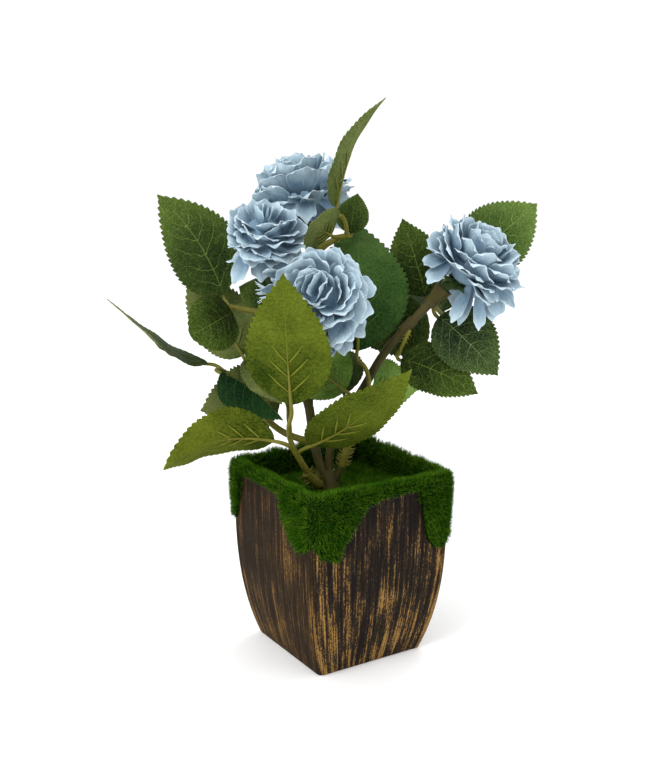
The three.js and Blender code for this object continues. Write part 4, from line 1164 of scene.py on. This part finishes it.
def petal_form(name, shape, seed):
    """A petal that grows from the origin along Y with its inner face up."""
    generator = random.Random(seed)
    bpy.ops.object.select_all(action="DESELECT")
    bpy.ops.mesh.primitive_grid_add(x_subdivisions=PETAL_COLUMNS, y_subdivisions=PETAL_ROWS, size=2)
    petal = named(name)
    phase = [generator.uniform(0, 2 * math.pi) for _ in range(5)]
    folds = generator.choice((0.8, 1.2, 1.6))
    slant = generator.uniform(-0.1, 0.1)
    crumples = [[generator.uniform(*span) for span in CRUMPLE_SPANS] for _ in range(3)]
    for vertex in petal.data.vertices:
        across, share = vertex.co.x, 1 - (0.5 - vertex.co.y / 2) ** 1.2
        ragged = 1 + 0.05 * math.sin(8 * share + phase[2] + 2 * across) * share
        half = shape["width"] / 2 * petal_outline(share) * ragged
        along = shape["length"] * share * (1 - 0.16 * share**6 * across**2)
        along *= 1 + 0.05 * share**3 * math.sin(3.5 * across + phase[3])
        bowl = shape["cup"] * half * across**2 * (0.1 + 0.9 * math.sin(math.pi * share**0.8))
        roll = shape["roll"] * (max(0, share - 0.45) / 0.55) ** 2
        side_roll = 0.35 * shape["roll"] * across**4 * share
        bow = 0.1 * shape["length"] * math.sin(math.pi * share)
        pleat = shape["pleat"] * share**1.5 * math.cos(math.pi * folds * across + phase[0])
        frill = 0.25 * share**4 * math.sin(5 * across + phase[1])
        width = half * across * (1 - 0.12 * shape["cup"])
        wander = width + 0.5 * math.sin(0.5 * along + phase[4])
        crease = CREASE_DEPTH * share * math.sin(2 * math.pi * wander / CREASE)
        crumple = sum(CRUMPLE_DEPTH * share * math.sin(a * width + b * along + c) for a, b, c in crumples)
        height = bowl - roll - side_roll - bow + pleat + frill + crease + crumple
        vertex.co = Vector((width + slant * along, along, height)) * MM
    cloth = petal.modifiers.new("cloth", "SOLIDIFY")
    cloth.thickness = PETAL_THICK * MM
    cloth.offset = 0
    apply_modifiers(petal)
    bpy.ops.object.shade_smooth_by_angle(angle=math.radians(60))
    return petal


# %% [markdown]
# The layers keep the form of the frame's blooms: polar is the angle of the petals' tips from the
# bloom's axis, and lean the angle of the petals themselves, in degrees. The crown's petals close
# over the heart, and each layer below it opens further.

# %% The layers of a bloom
LAYER_KEYS = ("count", "polar", "lean", "reach", "length", "width", "cup", "roll", "pleat")
LAYER_ROWS = [
    (8, 24, 6, 0.9, 14, 14, 0.4, 1.2, 0.25),
    (10, 39, 20, 0.96, 15, 15, 0.3, 1.6, 0.3),
    (12, 55, 38, 0.99, 16, 15.5, 0.25, 2.0, 0.4),
    (13, 72, 58, 1.0, 16.5, 15.5, 0.2, 2.3, 0.4),
    (12, 89, 80, 1.0, 17, 14.5, 0.2, 2.4, 0.4),
]
PETAL_LAYERS = [dict(zip(LAYER_KEYS, row)) for row in LAYER_ROWS]
PAGE = {"length": 13, "width": 14, "cup": 0.3, "roll": 0.8, "pleat": 0.5}
FORMS_PER_LAYER = 7

petal_forms = []
for number, layer in enumerate(PETAL_LAYERS):
    forms = []
    for turn in range(FORMS_PER_LAYER):
        forms.append(petal_form(f"petal_{number}_{turn}", layer, 10 * number + turn))
    petal_forms.append(forms)
page_forms = [petal_form(f"page_{turn}", PAGE, 900 + turn) for turn in range(FORMS_PER_LAYER)]
print("petals in a bloom", sum(layer["count"] for layer in PETAL_LAYERS))


# %% Place the petals
def bloom_frame(bloom):
    """The bloom's right, back and axis directions, and its centre, in plant millimetres."""
    axis = Vector(bloom.get("faces", bloom["axis"])).normalized()
    right = Vector((0, 1, 0)).cross(axis).normalized()
    return right, axis.cross(right), axis, Vector(bloom["centre"])


def stand_petal(petal, root, grows, inner, grow=1.0):
    """Moves a petal made at the origin so that it grows from root with its inner face that way."""
    grows = grows.normalized()
    inner = (inner - grows * inner.dot(grows)).normalized()
    side = grows.cross(inner)
    columns = Matrix((plant_way(side), plant_way(grows), plant_way(inner))).transposed()
    petal.data.transform(Matrix.Translation(plant_point(root)) @ columns.to_4x4() @ Matrix.Scale(grow, 4))
    return petal


def petal_copy(form):
    copy = form.copy()
    copy.data = form.data.copy()
    bpy.context.scene.collection.objects.link(copy)
    return copy


# %% [markdown]
# Nothing may pass through a leaf. Each petal is tried against the leaves' surfaces, and where it
# would meet one it's made shorter, or left out when that isn't enough.

# %% Keep petals off the leaves
SHORTER = (1, 0.88, 0.76)  # the sizes that are tried
leaf_surfaces = [BVHTree.FromObject(leaf, bpy.context.evaluated_depsgraph_get()) for leaf in leaves]


def meets_a_leaf(petal):
    corners = [vertex.co for vertex in petal.data.vertices]
    surface = BVHTree.FromPolygons(corners, [face.vertices for face in petal.data.polygons])
    return any(surface.overlap(leaf) for leaf in leaf_surfaces)


def fitted_petal(form, root, grows, inner, grow):
    """A copy of a form stood in its place, shortened until it meets no leaf, or nothing."""
    for shorter in SHORTER:
        petal = stand_petal(petal_copy(form), root, grows, inner, grow * shorter)
        if not meets_a_leaf(petal):
            return [petal]
        bpy.data.objects.remove(petal)
    return []


# %% Fill a layer
PRESSED_IN = 0.28  # how much nearer the petals of a bloom's pressed side are
# How far a petal strays from its place in the layer. Step is a share of the way to the next one,
# and the other three are in degrees.
STEP_SPREAD = 0.28
POLAR_SPREAD = 7
LEAN_SPREAD = 12
TWIST_SPREAD = 26
GROWTH = (0.84, 1.1)
REACHES = (0.93, 1.04)


def layer_petals(bloom, number, layer, generator):
    right, back, axis, centre = bloom_frame(bloom)
    bare = Vector(bloom.get("bare", (0, 0, 0))).normalized()
    pressed = Vector(bloom.get("pressed", (0, 0, 0))).normalized()
    loose = bloom.get("loose", 1)
    start = generator.uniform(0, 2 * math.pi)
    made = []
    for i in range(layer["count"]):
        form = petal_forms[number][generator.randrange(FORMS_PER_LAYER)]
        angle = start + 2 * math.pi * (i + generator.uniform(-STEP_SPREAD, STEP_SPREAD)) / layer["count"]
        polar = math.radians(layer["polar"] + generator.uniform(-POLAR_SPREAD, POLAR_SPREAD))
        strayed = loose * generator.uniform(-LEAN_SPREAD, LEAN_SPREAD)
        lean = math.radians(layer["lean"] + bloom["open"] + strayed)
        grow = bloom["size"] * generator.uniform(*GROWTH)
        reach = bloom["size"] * BLOOM_RADIUS * layer["reach"] * generator.uniform(*REACHES)
        twist = math.radians(loose * generator.uniform(-TWIST_SPREAD, TWIST_SPREAD))
        out = right * math.cos(angle) + back * math.sin(angle)
        way = out * math.sin(polar) + axis * math.cos(polar)
        if way.dot(bare) > bloom.get("bare_within", 1):
            continue
        reach *= 1 - PRESSED_IN * max(0, way.dot(pressed))
        grows = out * math.sin(lean) + axis * math.cos(lean)
        inner = axis * math.sin(lean) - out * math.cos(lean)
        inner.rotate(Matrix.Rotation(twist, 3, grows))
        root = centre + way * reach - grows * layer["length"] * grow
        made += fitted_petal(form, root, grows, inner, grow)
    return made


# %% Fold the crown
PAGE_STEP = 2.3
PAGE_LEAN = 8


def crown_petals(bloom, generator):
    """Folded petals that stand like the pages of a book over the heart, with a cleft between."""
    right, back, axis, centre = bloom_frame(bloom)
    turn = math.radians(bloom["crown"])
    across = right * math.cos(turn) + back * math.sin(turn)
    along = axis.cross(across)
    made = []
    for i in range(bloom["pages"]):
        place = i - (bloom["pages"] - 1) / 2
        lean = math.radians(PAGE_LEAN * place + generator.uniform(-5, 5))
        grows = axis * math.cos(lean) + across * math.sin(lean) + along * generator.uniform(-0.16, 0.16)
        inner = -across if place > 0 else across
        inner = inner + along * generator.uniform(-0.35, 0.35)
        grow = bloom["size"] * generator.uniform(0.85, 1.05)
        height = bloom["size"] * (BLOOM_RADIUS * generator.uniform(0.86, 0.94) - abs(place))
        tip = centre + across * place * PAGE_STEP * bloom["size"] * 1.5 + axis * height
        tip = tip + along * generator.uniform(-2, 2)
        root = tip - grows.normalized() * PAGE["length"] * grow
        made += fitted_petal(page_forms[i % FORMS_PER_LAYER], root, grows, inner, grow)
    return made


# %% [markdown]
# A padded ball in the same cloth sits in the middle, so that no light shows between the petals.

# %% Pad the heart
HEART_RADIUS = 11
HEART_LIFT = 2


def heart_ball(bloom):
    right, back, axis, centre = bloom_frame(bloom)
    size = bloom["size"] * HEART_RADIUS * MM
    bpy.ops.object.select_all(action="DESELECT")
    bpy.ops.mesh.primitive_uv_sphere_add(segments=24, ring_count=12, radius=size)
    ball = bpy.context.active_object
    ball.location = plant_point(centre + axis * HEART_LIFT)
    settle(ball)
    # The ball takes the petals' colour near the root, which is darkened there as painted shade.
    for loop in ball.data.uv_layers.active.data:
        loop.uv = (0.5, 0.2)
    bpy.ops.object.shade_smooth()
    return ball


# %% [markdown]
# Under each bloom a few long petals hang on their own, and they give each bloom its character, so
# they are placed one by one: root, tip and the way the inner face looks, in plant millimetres.

# %% Hang the skirt petals
SKIRT_SHAPE = {"cup": 0.35, "roll": 0.9, "pleat": 0.3}
# Each one's root, in or near the heart, its tip, the way its inner face looks and its width.
SKIRTS = {
    "top": [
        ((-22, 18, 226), (-25, 11, 214.5), (-0.2, -0.8, 0.6), 7.5),
        ((-17, 18, 227), (-15.5, 9, 213), (0.1, -0.85, 0.5), 10),
        ((-35, 24, 225), (-45, 19, 214), (-0.5, -0.6, 0.6), 12),
        ((-10.8, 29.2, 223.1), (8, 19, 215), (0.5, -0.6, 0.6), 12),
        ((-10.9, 29.2, 221.6), (0, 17.5, 209), (0.3, -0.7, 0.6), 9),
        ((-14, 31, 221), (-9, 26, 211.5), (0.3, -0.8, 0.3), 11),
        ((-20, 48, 219), (-26, 55, 208), (-0.2, 0.8, 0.3), 11),
        ((-8, 47, 219), (0, 53, 209), (0.4, 0.7, 0.3), 11),
    ],
    "left": [
        ((-38, -10, 203), (-40, -23, 197.5), (0, -0.35, 0.9), 15),
        ((-43, -10, 202), (-49, -15, 185.5), (-0.3, -0.9, 0.3), 8.5),
        ((-37, -8, 200), (-37, -10, 186), (0.1, 0.9, 0.2), 10),
        ((-32, -9, 200), (-27, -11, 187), (0.3, -0.9, 0.3), 12),
        ((-29.2, -3.2, 201.7), (-18, -3, 191), (0.7, -0.5, 0.5), 10.5),
        ((-41.1, 1.6, 202.5), (-54, 3, 194), (-0.7, -0.3, 0.6), 10.5),
        ((-36.1, 3.2, 202.4), (-38, 16, 190), (0, 0.9, 0.3), 11),
    ],
    "front": [
        ((-21, -22, 188), (-34, -33, 193), (-0.4, -0.8, -0.4), 7),
        ((-21, -24, 184), (-36, -33, 185), (-0.3, -0.8, -0.5), 7),
        ((-14.1, -28.4, 171.5), (-21, -31, 156), (-0.3, -0.8, 0.5), 10),
        ((-6.5, -26.9, 170.9), (-5, -33, 155), (0, -0.9, 0.4), 10),
        ((-2.5, -27.4, 172.8), (2, -34, 155), (0.2, -0.9, 0.4), 10),
    ],
    "right": [
        ((52, -11, 199), (38, -18, 196), (-0.2, -0.75, 0.6), 8),
        ((52, -13, 198), (39, -21, 188), (-0.4, -0.7, 0.5), 9),
        ((54, -5, 200), (47, -10, 189), (-0.6, -0.5, 0.6), 9),
        ((61.1, -12.6, 185.2), (52, -18, 168), (-0.5, -0.8, 0.3), 7),
        ((62, -11.6, 185), (57, -15, 166), (-0.3, -0.9, 0.2), 7),
        ((65, -14, 183), (65, -18, 164), (-0.1, -1, 0.2), 6),
        ((69, -13, 183), (71, -15, 168), (0.1, -0.9, 0.3), 8.5),
        ((71, -13, 184), (76, -17, 171), (0.3, -0.8, 0.4), 10),
        ((73, -11, 187), (81, -14, 174), (0.5, -0.7, 0.5), 10),
        ((74, -10, 192), (86, -14, 184), (0.6, -0.4, 0.6), 9),
        ((60.8, -1.5, 189.4), (58, 10, 173), (-0.2, 0.9, 0.2), 11),
        ((64.1, -1.3, 190), (70, 14, 174), (0.3, 0.9, 0.2), 11),
    ],
}


def skirt_petals(bloom):
    made = []
    for number, (root, tip, faces, width) in enumerate(SKIRTS[bloom["name"]]):
        root, tip = Vector(root), Vector(tip)
        shape = {"length": (tip - root).length, "width": width, **SKIRT_SHAPE}
        petal = petal_form("skirt_petal", shape, bloom["seed"] + number)
        made.append(stand_petal(petal, root, tip - root, Vector(faces)))
    return made


# %% [markdown]
# Beside the front bloom the edge of the cloth has frayed. Its threads are a fan of thin round
# rods, from one root to tips on a line, which hold their shape as the starched ones do.

# %% Fray the cloth
FRAY_ROOT = (-29, -24, 182)
FRAY_LINE = [(-38, -27, 187.5), (-37, -27, 176)]
FRAY_THREADS = 15
FRAY_RADII = [0.55, 0.45, 0.15]
FRAY_STRAY = 1.2
FRAY_BEND = 0.6


def frayed_threads():
    generator = random.Random(8)
    made = []
    for i in range(FRAY_THREADS):
        tip = Vector(between(*FRAY_LINE, i / (FRAY_THREADS - 1)))
        tip += Vector([generator.uniform(-FRAY_STRAY, FRAY_STRAY) for _ in range(3)])
        bend = (Vector(FRAY_ROOT) + tip) / 2 + Vector((0, 0, generator.uniform(-FRAY_BEND, FRAY_BEND)))
        thread = rod_along([FRAY_ROOT, bend, tip], FRAY_RADII, 2, 1)
        layer = thread.data.uv_layers.active or thread.data.uv_layers.new(name="UVMap")
        layer.data.foreach_set("uv", [0.5, 1.0] * len(thread.data.loops))
        made.append(thread)
    return made


# %% Gather a bloom's petals
def bloom_petals(bloom):
    generator = random.Random(bloom["seed"])
    made = [heart_ball(bloom), *skirt_petals(bloom), *crown_petals(bloom, generator)]
    if bloom["name"] == "front":
        made += frayed_threads()
    for number in range(bloom.get("first", 0), len(PETAL_LAYERS)):
        made += layer_petals(bloom, number, PETAL_LAYERS[number], generator)
    return joined("petals_" + bloom["name"], made)


# %% [markdown]
# The cloth is dyed a dusty pale blue. It darkens towards the root as painted shade where the petals
# overlap, and the very rim is almost white, partly the cloth's paler cut edge and partly a painted
# highlight. Fine lines run along each petal, as pressed cloth has.

# %% Dye the petals, with painted shade and highlight
petal_dye_and_light, shader = new_material("petal_dye_and_light")
across, along = sheet_coordinates(petal_dye_and_light)
place = object_coordinates(petal_dye_and_light)
from_middle = absolute(petal_dye_and_light, scaled(petal_dye_and_light, across, 2.0, -1.0))
# The pale rim: partly the cloth's paler edge, partly a painted highlight.
tip_rim = smooth_step(petal_dye_and_light, along, 0.9, 1.0)
side_rim = smooth_step(petal_dye_and_light, from_middle, 0.88, 1.0)
rim = larger(petal_dye_and_light, tip_rim, product(petal_dye_and_light, side_rim, along))
blotches = noise(petal_dye_and_light, place, 110, 3)
sheet = add_node(petal_dye_and_light, "ShaderNodeTexCoord").outputs["UV"]
lines = noise(petal_dye_and_light, stretched(petal_dye_and_light, sheet, (16, 1.2, 1)), 3, 2)
# Darker at the root: painted shade where the petals overlap.
tone_and_painted_shade = scaled(petal_dye_and_light, smooth_step(petal_dye_and_light, along, 0.3, 1.0), 0.8, -0.6)
tone_and_painted_shade = scaled(petal_dye_and_light, blotches, 0.9, tone_and_painted_shade)
tone_and_painted_shade = scaled(petal_dye_and_light, lines, 0.7, tone_and_painted_shade)
dye_and_painted_light = mixed(petal_dye_and_light, tone_and_painted_shade, colour(92, 121, 144), colour(184, 206, 216))
dye_and_painted_light = mixed(petal_dye_and_light, product(petal_dye_and_light, rim, 0.55), dye_and_painted_light, colour(218, 230, 238))
coat(petal_dye_and_light, shader, dye_and_painted_light, 0.85, 0.1)
shader.inputs["Subsurface Weight"].default_value = 0.15
shader.inputs["Subsurface Radius"].default_value = (0.001, 0.0011, 0.0013)
weave = noise(petal_dye_and_light, place, 2400, 1)
bumped(petal_dye_and_light, shader, scaled(petal_dye_and_light, weave, 0.4, lines), 0.25 * MM, 0.7)

for bloom in BLOOMS:
    petals = bloom_petals(bloom)
    petals.data.materials.clear()
    petals.data.materials.append(petal_dye_and_light)
    finish_piece(petals, "petal_cloth", "bloom_" + bloom["name"])

for forms in (*petal_forms, page_forms):
    for form in forms:
        bpy.data.objects.remove(form)

# %% [markdown]
# The green stalk of each bloom plugs into its cup and ends in the heart, where thin arms spread
# under the petals.

# %% Model the stalks
STALK = 2.6
CALYX_ARMS = 5
CALYX_FOOT = -10
STALK_PLUGGED = 5.7  # how deep the stalk is in its cup
STALK_END = 6


def bloom_place(bloom, radius, angle, height):
    right, back, axis, centre = bloom_frame(bloom)
    return centre + (right * math.cos(angle) + back * math.sin(angle)) * radius + axis * height


def stalk_piece(bloom):
    foot, mouth = (Vector(point) for point in bloom["cup"])
    cup_axis = away(foot, mouth)
    foot_of_calyx = bloom_place(bloom, 0, 0, CALYX_FOOT)
    heart = bloom_place(bloom, 0, 0, STALK_END)
    line = [mouth - cup_axis * STALK_PLUGGED, mouth + cup_axis, foot_of_calyx, heart]
    pieces = [rod_along(line, [STALK, STALK, STALK, 1.5], 8, 3)]
    for arm in range(CALYX_ARMS):
        angle = 2 * math.pi * arm / CALYX_ARMS
        bent = [
            bloom_place(bloom, 1, angle, CALYX_FOOT - 2.5),
            bloom_place(bloom, 6, angle, CALYX_FOOT + 0.5),
            bloom_place(bloom, 11, angle, CALYX_FOOT + 1.5),
        ]
        pieces.append(rod_along(bent, [1.4, 1.1, 0.5], 5, 2))
    return joined("green_stalk_" + bloom["name"], pieces)


stalk_finish, shader = new_material("green_stalk")
place = object_coordinates(stalk_finish)
mottle = noise(stalk_finish, place, 200, 3)
coat(stalk_finish, shader, mixed(stalk_finish, mottle, colour(26, 44, 18), colour(66, 88, 38)), 0.5, 0.15)
fibres = noise(stalk_finish, stretched(stalk_finish, place, (1, 1, 0.3)), 1200, 2)
bumped(stalk_finish, shader, fibres, 0.15 * MM)
for bloom in BLOOMS:
    stalk = stalk_piece(bloom)
    stalk.data.materials.clear()
    stalk.data.materials.append(stalk_finish)
    finish_piece(stalk, "bloom_stalk", "stalk_" + bloom["name"])
